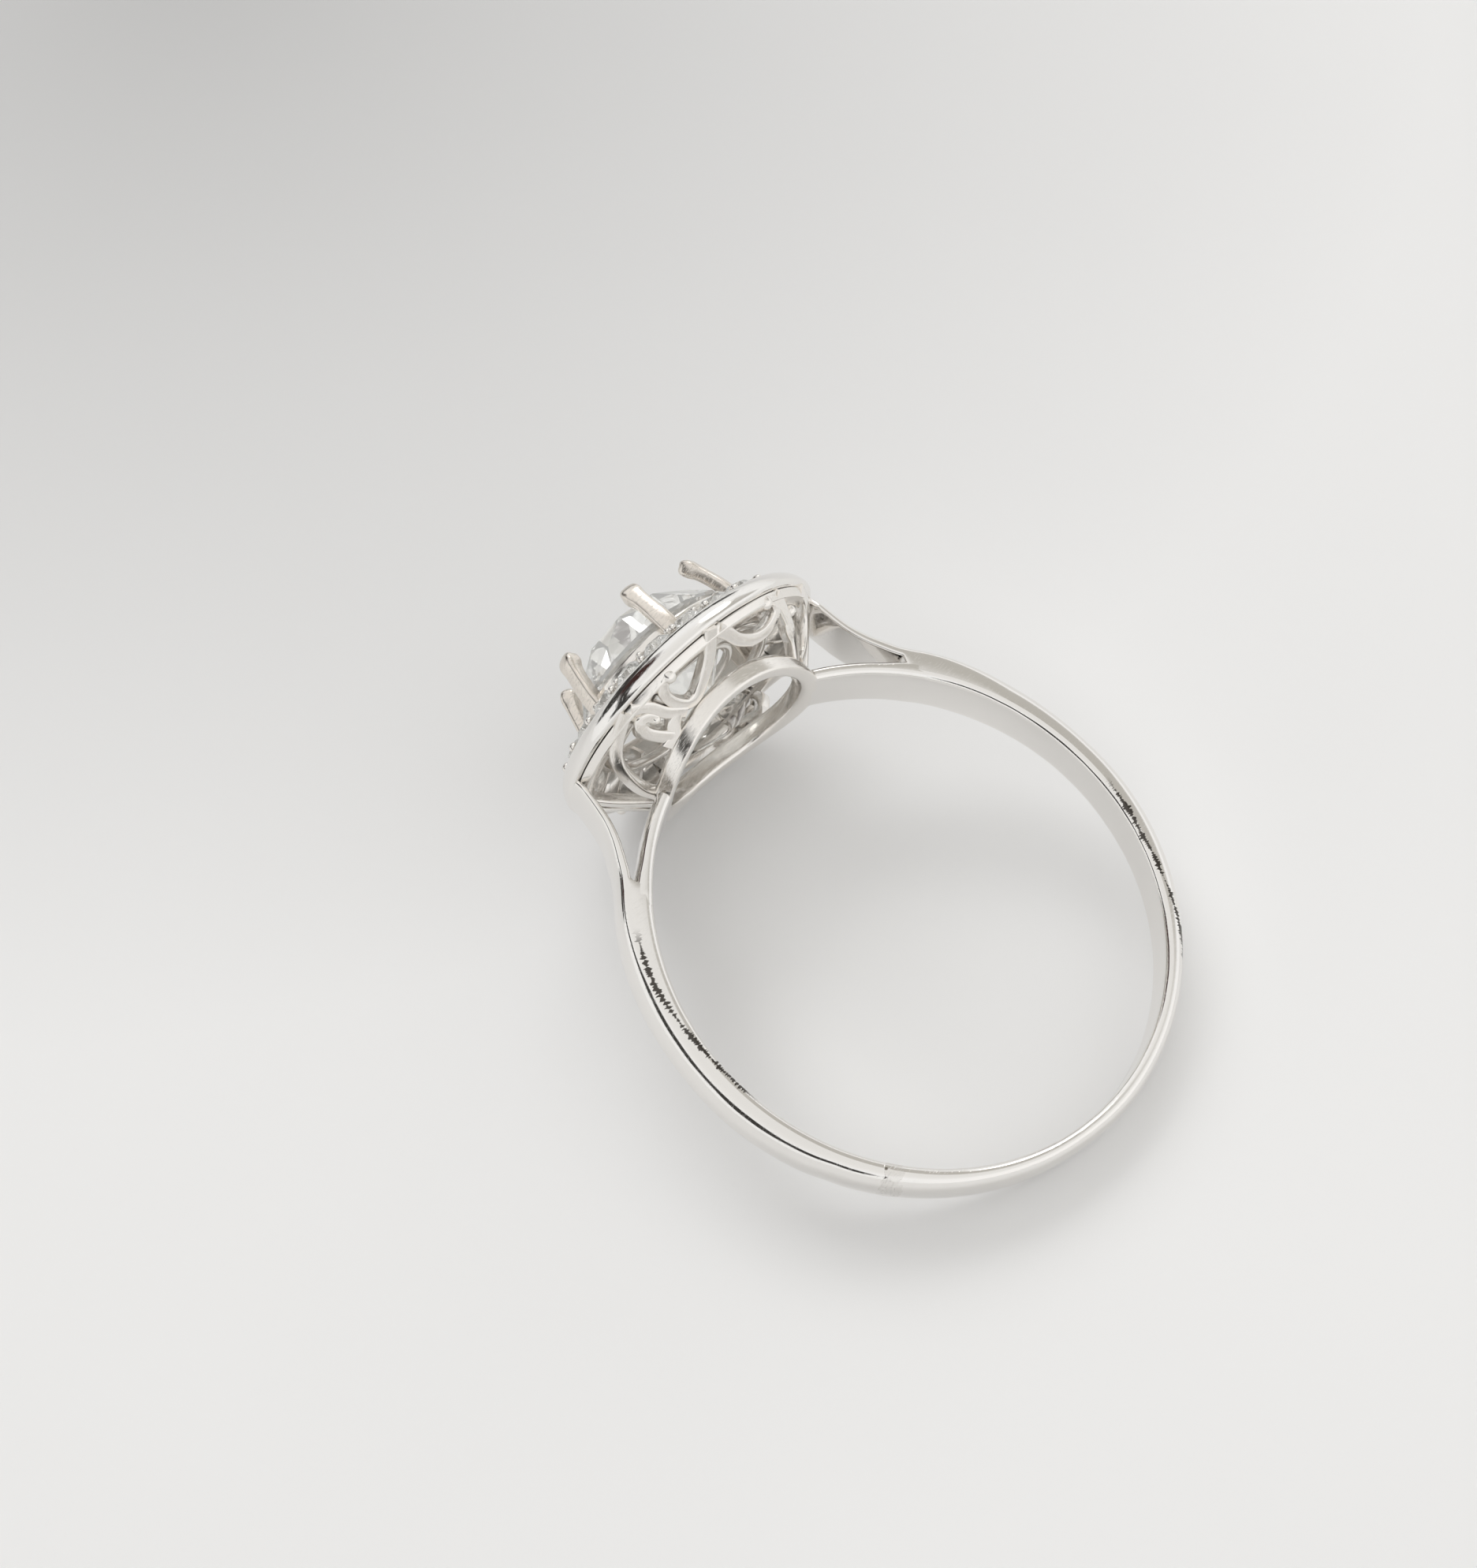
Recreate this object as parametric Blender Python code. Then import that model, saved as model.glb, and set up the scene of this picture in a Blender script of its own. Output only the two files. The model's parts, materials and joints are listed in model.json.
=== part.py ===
"""Halo engagement ring with a pierced scroll gallery, lying on its side.

The ring is drawn upright: X across the head, Y along the finger, Z from the
finger hole's centre towards the centre stone.  An empty then lays it down, so
that it rests on the halo's rim and on the bottom of the band.
"""
import math

import bmesh
import bpy
from mathutils import Matrix, Vector

MM = 0.001

# Finger hole, slightly taller than wide.
FINGER_WIDTH = 16.8 * MM
FINGER_HEIGHT = 17.96 * MM

# Band: D-shaped outside, eased edges inside, thinnest at the bottom.
BAND_WIDTH = 1.9 * MM
FORK_WIDTH = 2.25 * MM
BAND_BOTTOM_THICKNESS = 0.62 * MM
BAND_SIDE_THICKNESS = 1.0 * MM
BAND_FORK_THICKNESS = 1.24 * MM
BAND_EDGE = 0.26 * MM
BAND_DOME = 0.12 * MM
SEAM_WIDTH = 0.5 * MM
SEAM_SHRINK = 0.98
SEAM_ANGLE = math.radians(-138.0)

# Forked shoulders.
FORK_ANGLE = math.radians(45.0)
INNER_BRANCH_THICKNESS = 0.64 * MM
OUTER_BRANCH_THICKNESS = 0.52 * MM
OUTER_BRANCH_END_THICKNESS = 0.34 * MM
BRANCH_END_WIDTH = 2.3 * MM
BRANCH_EDGE = 0.1 * MM
OUTER_BRANCH_BEND = 1.3 * MM

# Base rail: a round loop that follows the finger.
BASE_RAIL_RADIUS = 3.62 * MM
BASE_RAIL_THICKNESS = 0.5 * MM
BASE_RAIL_HEIGHT = 0.62 * MM

# Gallery: scrolls on a cone between the base rail and the top rail.
TOP_RAIL_RADIUS = 5.3 * MM
TOP_RAIL_THICKNESS = 0.5 * MM
TOP_RAIL_HEIGHT = 0.28 * MM
STRAP_WIDTH = 0.36 * MM
STRAP_THICKNESS = 0.42 * MM
SCROLL_BALL_RADIUS = 0.23 * MM

# Halo frame.
HALO_RADIUS = 5.7 * MM
HALO_HEIGHT_ON_FINGER = 1.72 * MM
RIM_WALL_HEIGHT = 0.46 * MM
RIM_BEVEL_WIDTH = 0.4 * MM
RIM_BEVEL_HEIGHT = 0.3 * MM
PLATE_THICKNESS = 0.3 * MM
HALO_INNER_RADIUS = 3.84 * MM
HALO_INNER_HEIGHT = 1.28 * MM
FLANGE_RADIUS = 2.5 * MM

# Halo stones in one row.
HALO_STONE_COUNT = 22
HALO_STONE_DIAMETER = 1.12 * MM

# Centre stone and its six claws.
STONE_DIAMETER = 6.5 * MM
STONE_GIRDLE = 0.14 * MM
STONE_CROWN_SHARE = 0.2
STONE_PAVILION_SHARE = 0.43
STONE_TABLE_SHARE = 0.56
STONE_GIRDLE_ABOVE_HALO = 1.9 * MM
CLAW_COUNT = 6
CLAW_WIDTH = 0.72 * MM
CLAW_DEPTH = 0.62 * MM
CLAW_TIP_ABOVE_GIRDLE = 1.6 * MM
CLAW_LEAN = math.radians(17.0)
SEAT_HEIGHT = 0.42 * MM
SEAT_WALL = 0.34 * MM

GAP = 0.02 * MM

# Facets on round pieces.
BAND_STEP = math.radians(5.0)
RING_SEGMENTS = 72
SMALL_RING_SEGMENTS = 48

# Heights that follow from the sizes above.
HALF_WIDTH = FINGER_WIDTH / 2
HALF_HEIGHT = FINGER_HEIGHT / 2
HALO_BASE_Z = HALF_HEIGHT + HALO_HEIGHT_ON_FINGER
FLANGE_TOP_Z = HALO_BASE_Z + PLATE_THICKNESS
TOP_RAIL_TOP_Z = HALO_BASE_Z - GAP
TOP_RAIL_LOW_Z = TOP_RAIL_TOP_Z - TOP_RAIL_HEIGHT
GIRDLE_Z = HALO_BASE_Z + STONE_GIRDLE_ABOVE_HALO
CLAW_TIP_Z = GIRDLE_Z + CLAW_TIP_ABOVE_GIRDLE


def clear_scene():
    for item in list(bpy.data.objects):
        bpy.data.objects.remove(item, do_unlink=True)


def make_material(name, color, roughness, metallic, transmission=0.0):
    material = bpy.data.materials.new(name)
    material.use_nodes = True
    shader = material.node_tree.nodes["Principled BSDF"]
    shader.inputs["Base Color"].default_value = (*color, 1.0)
    shader.inputs["Roughness"].default_value = roughness
    shader.inputs["Metallic"].default_value = metallic
    shader.inputs["Transmission Weight"].default_value = transmission
    material.diffuse_color = (*color, 1.0)
    return material


def add_object(name, bm, material, pose, smooth_angle=35.0):
    bmesh.ops.recalc_face_normals(bm, faces=bm.faces)
    if bm.calc_volume(signed=True) < 0:
        bmesh.ops.reverse_faces(bm, faces=bm.faces)
    mesh = bpy.data.meshes.new(name)
    bm.to_mesh(mesh)
    bm.free()
    mesh.materials.append(material)
    mesh.shade_smooth()
    mesh.set_sharp_from_angle(angle=math.radians(smooth_angle))
    item = bpy.data.objects.new(name, mesh)
    item.parent = pose
    bpy.context.scene.collection.objects.link(item)
    return item


def loft(rings, closed=False):
    """A tube through equal rings of points, closed on itself or capped."""
    bm = bmesh.new()
    made = [[bm.verts.new(point) for point in ring] for ring in rings]
    count = len(made[0])
    pairs = list(zip(made, made[1:]))
    if closed:
        pairs.append((made[-1], made[0]))
    for first, second in pairs:
        for i in range(count):
            j = (i + 1) % count
            bm.faces.new((first[i], first[j], second[j], second[i]))
    if not closed:
        bm.faces.new(reversed(made[0]))
        bm.faces.new(made[-1])
    return bm


def revolve(profile, segments):
    """A closed profile of (radius, height) turned about the head's axis."""
    rings = []
    for k in range(segments):
        turn = 2 * math.pi * k / segments
        rings.append([Vector((r * math.cos(turn), r * math.sin(turn), z)) for r, z in profile])
    return loft(rings, closed=True)


# Finger hole and band.

def hole_point(angle):
    """The point of the finger hole's wall in this direction from its centre."""
    radius = 1 / math.hypot(math.cos(angle) / HALF_WIDTH, math.sin(angle) / HALF_HEIGHT)
    return Vector((radius * math.cos(angle), 0, radius * math.sin(angle)))


def hole_normal(angle):
    point = hole_point(angle)
    return Vector((point.x / HALF_WIDTH**2, 0, point.z / HALF_HEIGHT**2)).normalized()


def hole_height(x):
    return HALF_HEIGHT * math.sqrt(max(0.0, 1 - (x / HALF_WIDTH) ** 2))


def smooth(value):
    value = min(1.0, max(0.0, value))
    return value * value * (3 - 2 * value)


def from_side(angle):
    """The angle above +X, negative below it, on either side of the ring."""
    if math.cos(angle) < 0:
        angle = math.pi - angle
    return math.atan2(math.sin(angle), math.cos(angle))


def band_thickness(angle):
    """Grows from the bottom to the side and again to the fork."""
    angle = from_side(angle)
    if angle < 0:
        share = smooth(1 + angle / math.radians(80))
        return BAND_BOTTOM_THICKNESS + (BAND_SIDE_THICKNESS - BAND_BOTTOM_THICKNESS) * share
    share = smooth(angle / FORK_ANGLE)
    return BAND_SIDE_THICKNESS + (BAND_FORK_THICKNESS - BAND_SIDE_THICKNESS) * share


def band_width(angle):
    return BAND_WIDTH + (FORK_WIDTH - BAND_WIDTH) * smooth(from_side(angle) / FORK_ANGLE)


def band_section(width, thickness, dome):
    """(outwards, along the finger) points: eased inside, flat sides, domed outside."""
    half = width / 2
    ease = min(BAND_EDGE, thickness / 3)
    shoulder = thickness - min(dome + BRANCH_EDGE, thickness / 3)
    inside = [(0, half - 1.1 * ease), (0.22 * ease, half - 0.42 * ease), (ease, half)]
    outside = [(shoulder, half), (thickness - dome, half - BRANCH_EDGE), (thickness - dome * 0.3, half * 0.5)]
    points = inside + outside + [(thickness, 0)]
    return points + [(u, -y) for u, y in reversed(inside + outside)]


def ring_at(angle, section):
    """The section's points where the hole's wall lies in this direction."""
    origin = hole_point(angle)
    outwards = hole_normal(angle)
    return [origin + outwards * u + Vector((0, y, 0)) for u, y in section]


def angles_between(start, end):
    steps = max(2, round(abs(end - start) / BAND_STEP))
    return [start + (end - start) * i / steps for i in range(steps + 1)]


def band_piece(start, end):
    rings = []
    for angle in angles_between(start, end):
        section = band_section(band_width(angle), band_thickness(angle), BAND_DOME)
        rings.append(ring_at(angle, section))
    return loft(rings)


def make_band(metal, solder, pose):
    radius = hole_point(SEAM_ANGLE).length
    half_seam = SEAM_WIDTH / 2 / radius
    gap = GAP / radius
    left_fork = -math.pi - FORK_ANGLE
    right_end = SEAM_ANGLE + half_seam
    left_end = SEAM_ANGLE - half_seam
    add_object("shank_right", band_piece(FORK_ANGLE - gap, right_end + gap), metal, pose)
    add_object("shank_left", band_piece(left_end - gap, left_fork + gap), metal, pose)
    rings = []
    for angle in (left_end, SEAM_ANGLE, right_end):
        section = band_section(band_width(angle) * SEAM_SHRINK, band_thickness(angle) * SEAM_SHRINK, BAND_DOME)
        rings.append(ring_at(angle, section))
    add_object("sizing_seam", loft(rings), solder, pose)


# Shoulders.

def box_section(width, thickness, edge):
    """A strip's section with eased corners, outwards by width."""
    half = width / 2
    return [
        (0, -half + edge), (0, half - edge), (edge, half), (thickness - edge, half),
        (thickness, half - edge), (thickness, -half + edge), (thickness - edge, -half), (edge, -half),
    ]


def strip_section(width, thickness, dome):
    """A branch's section: square inside corners, slightly domed outside."""
    half = width / 2
    side = [(0, half - BRANCH_EDGE / 2), (BRANCH_EDGE / 2, half), (thickness - dome - BRANCH_EDGE, half)]
    side += [(thickness - dome, half - BRANCH_EDGE)]
    return side + [(thickness, 0)] + [(u, -y) for u, y in reversed(side)]


def mirror_x(rings):
    return [[Vector((-p.x, p.y, p.z)) for p in ring] for ring in rings]


def inner_branch_rings():
    """From the fork to the base rail, along the finger hole's wall."""
    gap = GAP / HALF_WIDTH
    end_x = BASE_RAIL_RADIUS + GAP
    end_angle = math.atan2(hole_height(end_x), end_x)
    rings = []
    for angle in angles_between(FORK_ANGLE + gap, end_angle):
        share = (angle - FORK_ANGLE) / (end_angle - FORK_ANGLE)
        width = FORK_WIDTH + (BRANCH_END_WIDTH - FORK_WIDTH) * share
        thickness = INNER_BRANCH_THICKNESS + (BASE_RAIL_HEIGHT - INNER_BRANCH_THICKNESS) * share
        rings.append(ring_at(angle, band_section(width, thickness, 0.0)))
    rings[-1] = [Vector((end_x, p.y, p.z)) for p in rings[-1]]
    return rings


def outer_branch_rings():
    """From the fork up to the halo's rim, on a curve that straightens upwards."""
    angle = FORK_ANGLE + GAP / HALF_WIDTH
    outwards = hole_normal(angle)
    tangent = Vector((-outwards.z, 0, outwards.x))
    start = hole_point(angle) + outwards * BAND_FORK_THICKNESS
    end = Vector((HALO_RADIUS, 0, HALO_BASE_Z - GAP))
    bend = start + tangent * OUTER_BRANCH_BEND
    lift = end - Vector((0, 0, OUTER_BRANCH_BEND))
    rings = []
    steps = 12
    for i in range(steps + 1):
        t = i / steps
        a, b, c, d = (1 - t) ** 3, 3 * t * (1 - t) ** 2, 3 * t * t * (1 - t), t**3
        point = start * a + bend * b + lift * c + end * d
        along = (bend - start) * (1 - t) ** 2 + (lift - bend) * 2 * t * (1 - t) + (end - lift) * t * t
        along.normalize()
        inwards = Vector((-along.z, 0, along.x))
        width = FORK_WIDTH + (BRANCH_END_WIDTH - FORK_WIDTH) * smooth(t)
        thickness = OUTER_BRANCH_THICKNESS + (OUTER_BRANCH_END_THICKNESS - OUTER_BRANCH_THICKNESS) * smooth(t)
        section = strip_section(width, thickness, BAND_DOME)
        rings.append([point + inwards * (thickness - u) + Vector((0, y, 0)) for u, y in section])
    rings[-1] = [Vector((p.x, p.y, end.z)) for p in rings[-1]]
    return rings


def make_shoulders(metal, pose):
    inner = inner_branch_rings()
    outer = outer_branch_rings()
    add_object("shoulder_inner_right", loft(inner), metal, pose)
    add_object("shoulder_inner_left", loft(mirror_x(inner)), metal, pose)
    add_object("shoulder_outer_right", loft(outer), metal, pose)
    add_object("shoulder_outer_left", loft(mirror_x(outer)), metal, pose)


# Rails and gallery.

def make_base_rail(metal, pose):
    edge = 0.1 * MM
    rings = []
    for k in range(RING_SEGMENTS):
        turn = 2 * math.pi * k / RING_SEGMENTS
        ring = []
        for u, across in box_section(BASE_RAIL_THICKNESS, BASE_RAIL_HEIGHT, edge):
            radius = BASE_RAIL_RADIUS - BASE_RAIL_THICKNESS / 2 + across
            x = radius * math.cos(turn)
            ring.append(Vector((x, radius * math.sin(turn), hole_height(x) + u)))
        rings.append(ring)
    add_object("base_rail", loft(rings, closed=True), metal, pose)


def make_top_rail(metal, pose):
    inner = TOP_RAIL_RADIUS - TOP_RAIL_THICKNESS
    edge = 0.06 * MM
    profile = [
        (inner, TOP_RAIL_LOW_Z), (TOP_RAIL_RADIUS - edge, TOP_RAIL_LOW_Z),
        (TOP_RAIL_RADIUS, TOP_RAIL_LOW_Z + edge), (TOP_RAIL_RADIUS, TOP_RAIL_TOP_Z),
        (inner, TOP_RAIL_TOP_Z),
    ]
    add_object("gallery_top_rail", revolve(profile, RING_SEGMENTS), metal, pose)


def gallery_point(turn, share, depth):
    """A point of the gallery's cone: share 0 at the base rail, 1 at the top rail."""
    low_z = hole_height(BASE_RAIL_RADIUS * math.cos(turn)) + BASE_RAIL_HEIGHT
    radius = BASE_RAIL_RADIUS + (TOP_RAIL_RADIUS - BASE_RAIL_RADIUS) * share - depth
    z = low_z + (TOP_RAIL_LOW_Z - low_z) * share
    return Vector((radius * math.cos(turn), radius * math.sin(turn), z))


def arc(center_turn, center_share, reach_turn, reach_share, start, end, steps):
    """Points (degrees round the head, share of the height) on part of an ellipse."""
    points = []
    for i in range(steps + 1):
        a = math.radians(start + (end - start) * i / steps)
        points.append((center_turn + reach_turn * math.cos(a), center_share + reach_share * math.sin(a)))
    return points


def strap(route, ball):
    """A flat strap on the gallery's cone, with a ball on its end if asked."""
    centers = [gallery_point(math.radians(t), s, STRAP_THICKNESS / 2) for t, s in route]
    rings = []
    count = len(centers)
    sides = 8
    for i, center in enumerate(centers):
        along = (centers[min(i + 1, count - 1)] - centers[max(i - 1, 0)]).normalized()
        turn = math.radians(route[i][0])
        outwards = Vector((math.cos(turn), math.sin(turn), -0.6)).normalized()
        across = along.cross(outwards).normalized()
        outwards = across.cross(along).normalized()
        swell = 1.0
        if ball and i >= count - 5:
            swell = (1.0, 1.25, 1.45, 1.25, 0.7)[i - count + 5]
        ring = []
        for k in range(sides):
            a = math.pi / sides + 2 * math.pi * k / sides
            ring.append(
                center
                + across * (math.cos(a) * STRAP_WIDTH * 0.54 * swell)
                + outwards * (math.sin(a) * STRAP_THICKNESS * 0.54)
            )
        rings.append(ring)
    return loft(rings)


def scroll_routes():
    """Straps of half the gallery: name, route in degrees and share, and whether a ball ends it."""
    wide = [(84.5, 0.84)] + arc(68.5, 0.78, 15.0, 0.37, 340, 185, 9) + [(56.5, 0.86), (61.5, 0.74)]
    stem = [(90.0, 0.86), (92.5, 0.72), (96.5, 0.50), (102.0, 0.32)]
    stem += arc(110.5, 0.56, 8.5, 0.36, 245, 385, 8) + [(111.0, 0.70)]
    strut = [(129.5, 0.86), (126.5, 0.68), (124.8, 0.48), (122.5, 0.26)]
    hook = [(130.5, 0.20)] + arc(134.5, 0.44, 3.8, 0.26, 190, 20, 6) + [(136.0, 0.36)]
    side = [(141.0, 0.86), (147.0, 0.78), (152.5, 0.68), (158.0, 0.56), (164.0, 0.42), (170.0, 0.26)]
    link = [(49.0, 0.86), (46.5, 0.70), (43.0, 0.54), (38.5, 0.38), (34.0, 0.24)]
    end = [(21.0, 0.86)] + arc(26.5, 0.64, 8.5, 0.22, 90, -90, 8) + [(21.0, 0.42)]
    return [
        ("scroll_wide", wide, True),
        ("scroll_stem", stem, True),
        ("scroll_strut", strut, False),
        ("scroll_hook", hook, True),
        ("scroll_side", side, False),
        ("scroll_link", link, False),
        ("scroll_end", end, False),
    ]


def make_gallery(metal, pose):
    """The same straps on the front half and, turned half round, on the back."""
    for name, route, ball in scroll_routes():
        for side, offset in (("front", 0), ("back", 180)):
            turned = [(offset - degrees, share) for degrees, share in route]
            add_object(f"{name}_{side}", strap(turned, ball), metal, pose)


# Halo.

def make_halo_frame(metal, pose):
    wall_z = HALO_BASE_Z + RIM_WALL_HEIGHT
    bevel_z = wall_z + RIM_BEVEL_HEIGHT
    bevel_r = HALO_RADIUS - RIM_BEVEL_WIDTH
    inner_z = HALO_BASE_Z + HALO_INNER_HEIGHT
    channel_r = (HALO_INNER_RADIUS + bevel_r) / 2
    outer_z = bevel_z - 0.12 * MM
    half = HALO_STONE_DIAMETER / 2
    lean = math.atan2(inner_z - outer_z, bevel_r - HALO_INNER_RADIUS)
    middle_z = (inner_z + outer_z) / 2
    depth = half * 0.95
    channel = (channel_r - depth * math.sin(lean), middle_z - depth * math.cos(lean) - 0.05 * MM)
    lip = half + 0.05 * MM
    high = (channel_r - lip * math.cos(lean), middle_z + lip * math.sin(lean))
    low = (channel_r + lip * math.cos(lean), middle_z - lip * math.sin(lean))
    profile = [
        (FLANGE_RADIUS, HALO_BASE_Z), (HALO_RADIUS, HALO_BASE_Z), (HALO_RADIUS, wall_z),
        (HALO_RADIUS - 0.12 * MM, wall_z + RIM_BEVEL_HEIGHT * 0.55), (bevel_r, bevel_z),
        low, channel, high, (HALO_INNER_RADIUS, inner_z), (HALO_INNER_RADIUS, FLANGE_TOP_Z),
        (FLANGE_RADIUS, FLANGE_TOP_Z),
    ]
    add_object("halo_frame", revolve(profile, RING_SEGMENTS), metal, pose, 25.0)
    return lean, channel_r, middle_z


def small_stone():
    """An eight-sided stone, girdle at the origin, table towards +Z."""
    half = HALO_STONE_DIAMETER / 2 - GAP
    levels = [(0.56, 0.17), (1.0, 0.02), (1.0, -0.02)]
    rings = []
    for share, height in levels:
        rings.append([
            Vector((half * share * math.cos(k * math.pi / 4), half * share * math.sin(k * math.pi / 4),
                    HALO_STONE_DIAMETER * height))
            for k in range(8)
        ])
    bm = bmesh.new()
    made = [[bm.verts.new(point) for point in ring] for ring in rings]
    bm.faces.new(made[0])
    for first, second in zip(made, made[1:]):
        for i in range(8):
            bm.faces.new((first[i], second[i], second[(i + 1) % 8], first[(i + 1) % 8]))
    culet = bm.verts.new((0, 0, -0.40 * HALO_STONE_DIAMETER))
    for i in range(8):
        bm.faces.new((made[-1][i], culet, made[-1][(i + 1) % 8]))
    return bm


def make_halo_stones(gem, pose, lean, row_radius, middle_z):
    lift = 0.04 * MM
    for n in range(HALO_STONE_COUNT):
        turn = 2 * math.pi * (n + 0.5) / HALO_STONE_COUNT
        bm = small_stone()
        tilt = Matrix.Rotation(lean, 4, "Y")
        place = Matrix.Translation((row_radius + lift * math.sin(lean), 0, middle_z + lift))
        spin = Matrix.Rotation(turn, 4, "Z")
        bmesh.ops.transform(bm, matrix=spin @ place @ tilt, verts=bm.verts)
        add_object(f"halo_diamond_{n + 1:02d}", bm, gem, pose, 1.0)


# Centre stone, seat and claws.

def make_centre_stone(gem, pose):
    """A round brilliant: table, stars, kites, upper and lower girdle facets, pavilion mains."""
    half = STONE_DIAMETER / 2
    crown = STONE_DIAMETER * STONE_CROWN_SHARE
    pavilion = STONE_DIAMETER * STONE_PAVILION_SHARE
    top = GIRDLE_Z + STONE_GIRDLE / 2
    low = GIRDLE_Z - STONE_GIRDLE / 2
    bm = bmesh.new()

    def ring(count, radius, z, offset):
        return [
            bm.verts.new((radius * math.cos(math.tau * (k + offset) / count),
                          radius * math.sin(math.tau * (k + offset) / count), z))
            for k in range(count)
        ]

    table = ring(8, half * STONE_TABLE_SHARE, top + crown, 0)
    star = ring(8, half * 0.80, top + crown * 0.50, 0.5)
    upper = ring(16, half, top, 0)
    lower = ring(16, half, low, 0)
    mains = ring(8, half * 0.28, low - pavilion * 0.70, 0.5)
    culet = bm.verts.new((0, 0, low - pavilion))
    bm.faces.new(table)
    for k in range(8):
        j = (k + 1) % 8
        bm.faces.new((table[k], star[k], table[j]))
        bm.faces.new((table[k], star[k - 1], upper[2 * k]))
        bm.faces.new((table[k], upper[2 * k], star[k]))
        bm.faces.new((star[k], upper[2 * k], upper[2 * k + 1]))
        bm.faces.new((star[k], upper[2 * k + 1], upper[(2 * k + 2) % 16]))
        bm.faces.new((mains[k], lower[2 * k + 1], lower[2 * k]))
        bm.faces.new((mains[k], lower[(2 * k + 2) % 16], lower[2 * k + 1]))
        bm.faces.new((culet, mains[k], lower[2 * k]))
        bm.faces.new((culet, lower[(2 * j) % 16], mains[k]))
    for k in range(16):
        j = (k + 1) % 16
        bm.faces.new((upper[k], lower[k], lower[j], upper[j]))
    add_object("centre_diamond", bm, gem, pose, 1.0)


def pavilion_radius(z):
    """The pavilion's radius at this height, never less than the real facets'."""
    low = GIRDLE_Z - STONE_GIRDLE / 2
    pavilion = STONE_DIAMETER * STONE_PAVILION_SHARE
    return STONE_DIAMETER / 2 * max(0.0, 1 - (low - z) / (pavilion * 1.02))


def seat_outer_radius():
    return pavilion_radius(GIRDLE_Z - 0.5 * STONE_GIRDLE - 0.2 * MM) + GAP + SEAT_WALL


def make_stone_seat(metal, pose):
    """The ring under the girdle that carries the stone, on a short collet."""
    top = GIRDLE_Z - STONE_GIRDLE / 2 - 0.2 * MM
    low = FLANGE_TOP_Z + GAP
    outer = seat_outer_radius()
    clear = 3 * GAP
    profile = [
        (outer, top), (pavilion_radius(top) + clear, top),
        (pavilion_radius(top - SEAT_HEIGHT) + clear, top - SEAT_HEIGHT),
        (pavilion_radius(low) + clear, low), (outer - 0.5 * MM, low),
        (outer - 0.12 * MM, top - SEAT_HEIGHT), (outer, top - SEAT_HEIGHT + 0.1 * MM),
    ]
    add_object("stone_seat", revolve(profile, SMALL_RING_SEGMENTS), metal, pose)


def make_claws(metal, pose):
    """Six claws that stand on the flange and lean in over the crown."""
    half_w = CLAW_WIDTH / 2
    foot_r = seat_outer_radius() + GAP
    knee_z = GIRDLE_Z + STONE_GIRDLE
    base_z = FLANGE_TOP_Z + GAP
    for n in range(CLAW_COUNT):
        turn = math.tau * (n + 0.5) / CLAW_COUNT
        stations = []
        stations.append((base_z, foot_r, foot_r + CLAW_DEPTH * 0.7, 0.85))
        stations.append((knee_z - 0.25 * MM, foot_r, foot_r + CLAW_DEPTH * 0.7, 0.9))
        top_in = foot_r - (CLAW_TIP_Z - knee_z) * math.tan(CLAW_LEAN)
        for share, inset, wide in ((0.0, 0.0, 1.0), (0.45, 0.0, 1.0), (0.8, 0.04, 0.9), (0.94, 0.16, 0.6), (1.0, 0.3, 0.25)):
            z = knee_z + (CLAW_TIP_Z - knee_z) * share
            back = foot_r + (top_in - foot_r) * share
            stations.append((z, back + inset * CLAW_DEPTH, back + CLAW_DEPTH * (0.85 - inset), wide))
        rings = []
        for z, inner, outer, wide in stations:
            w = half_w * wide
            mid = (inner + outer) / 2
            outline = [
                (inner, -w * 0.8), (inner, w * 0.8), (mid, w), (outer - (outer - mid) * 0.3, w * 0.7),
                (outer, 0), (outer - (outer - mid) * 0.3, -w * 0.7), (mid, -w),
            ]
            rings.append([Matrix.Rotation(turn, 3, "Z") @ Vector((r, s, z)) for r, s in outline])
        add_object(f"claw_{n + 1}", loft(rings), metal, pose)


# Laying the ring down.

def resting_lean():
    """The angle at which the halo's rim and the bottom of the band both touch the table."""
    reach = HALO_RADIUS - BAND_WIDTH / 2
    edge = max(u for u, y in band_section(BAND_WIDTH, BAND_BOTTOM_THICKNESS, BAND_DOME) if y == BAND_WIDTH / 2)
    span = HALO_BASE_Z + HALF_HEIGHT + edge
    return math.atan2(reach, span)


def lay_down(pose):
    """Turn the upright ring over and put its lowest point's box centre on the origin."""
    turn = Matrix.Rotation(resting_lean() - math.pi / 2, 4, "X")
    corners = [turn @ v.co for item in pose.children for v in item.data.vertices]
    middle = [(min(c[i] for c in corners) + max(c[i] for c in corners)) / 2 for i in (0, 1)]
    floor = min(c[2] for c in corners)
    pose.matrix_world = Matrix.Translation((-middle[0], -middle[1], -floor)) @ turn


def main():
    clear_scene()
    pose = bpy.data.objects.new("ring_pose", None)
    bpy.context.scene.collection.objects.link(pose)
    rhodium = make_material("rhodium_white_gold", (0.86, 0.85, 0.83), 0.08, 1.0)
    bare = make_material("bare_white_gold", (0.80, 0.74, 0.66), 0.14, 1.0)
    solder = make_material("worn_solder", (0.70, 0.68, 0.65), 0.25, 1.0)
    gem = make_material("diamond", (0.93, 0.94, 0.90), 0.02, 0.0, 0.9)
    make_band(rhodium, solder, pose)
    make_shoulders(rhodium, pose)
    make_base_rail(rhodium, pose)
    make_top_rail(rhodium, pose)
    make_gallery(rhodium, pose)
    lean, row_radius, middle_z = make_halo_frame(rhodium, pose)
    make_halo_stones(gem, pose, lean, row_radius, middle_z)
    make_centre_stone(gem, pose)
    make_stone_seat(bare, pose)
    make_claws(bare, pose)
    lay_down(pose)


main()
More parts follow.
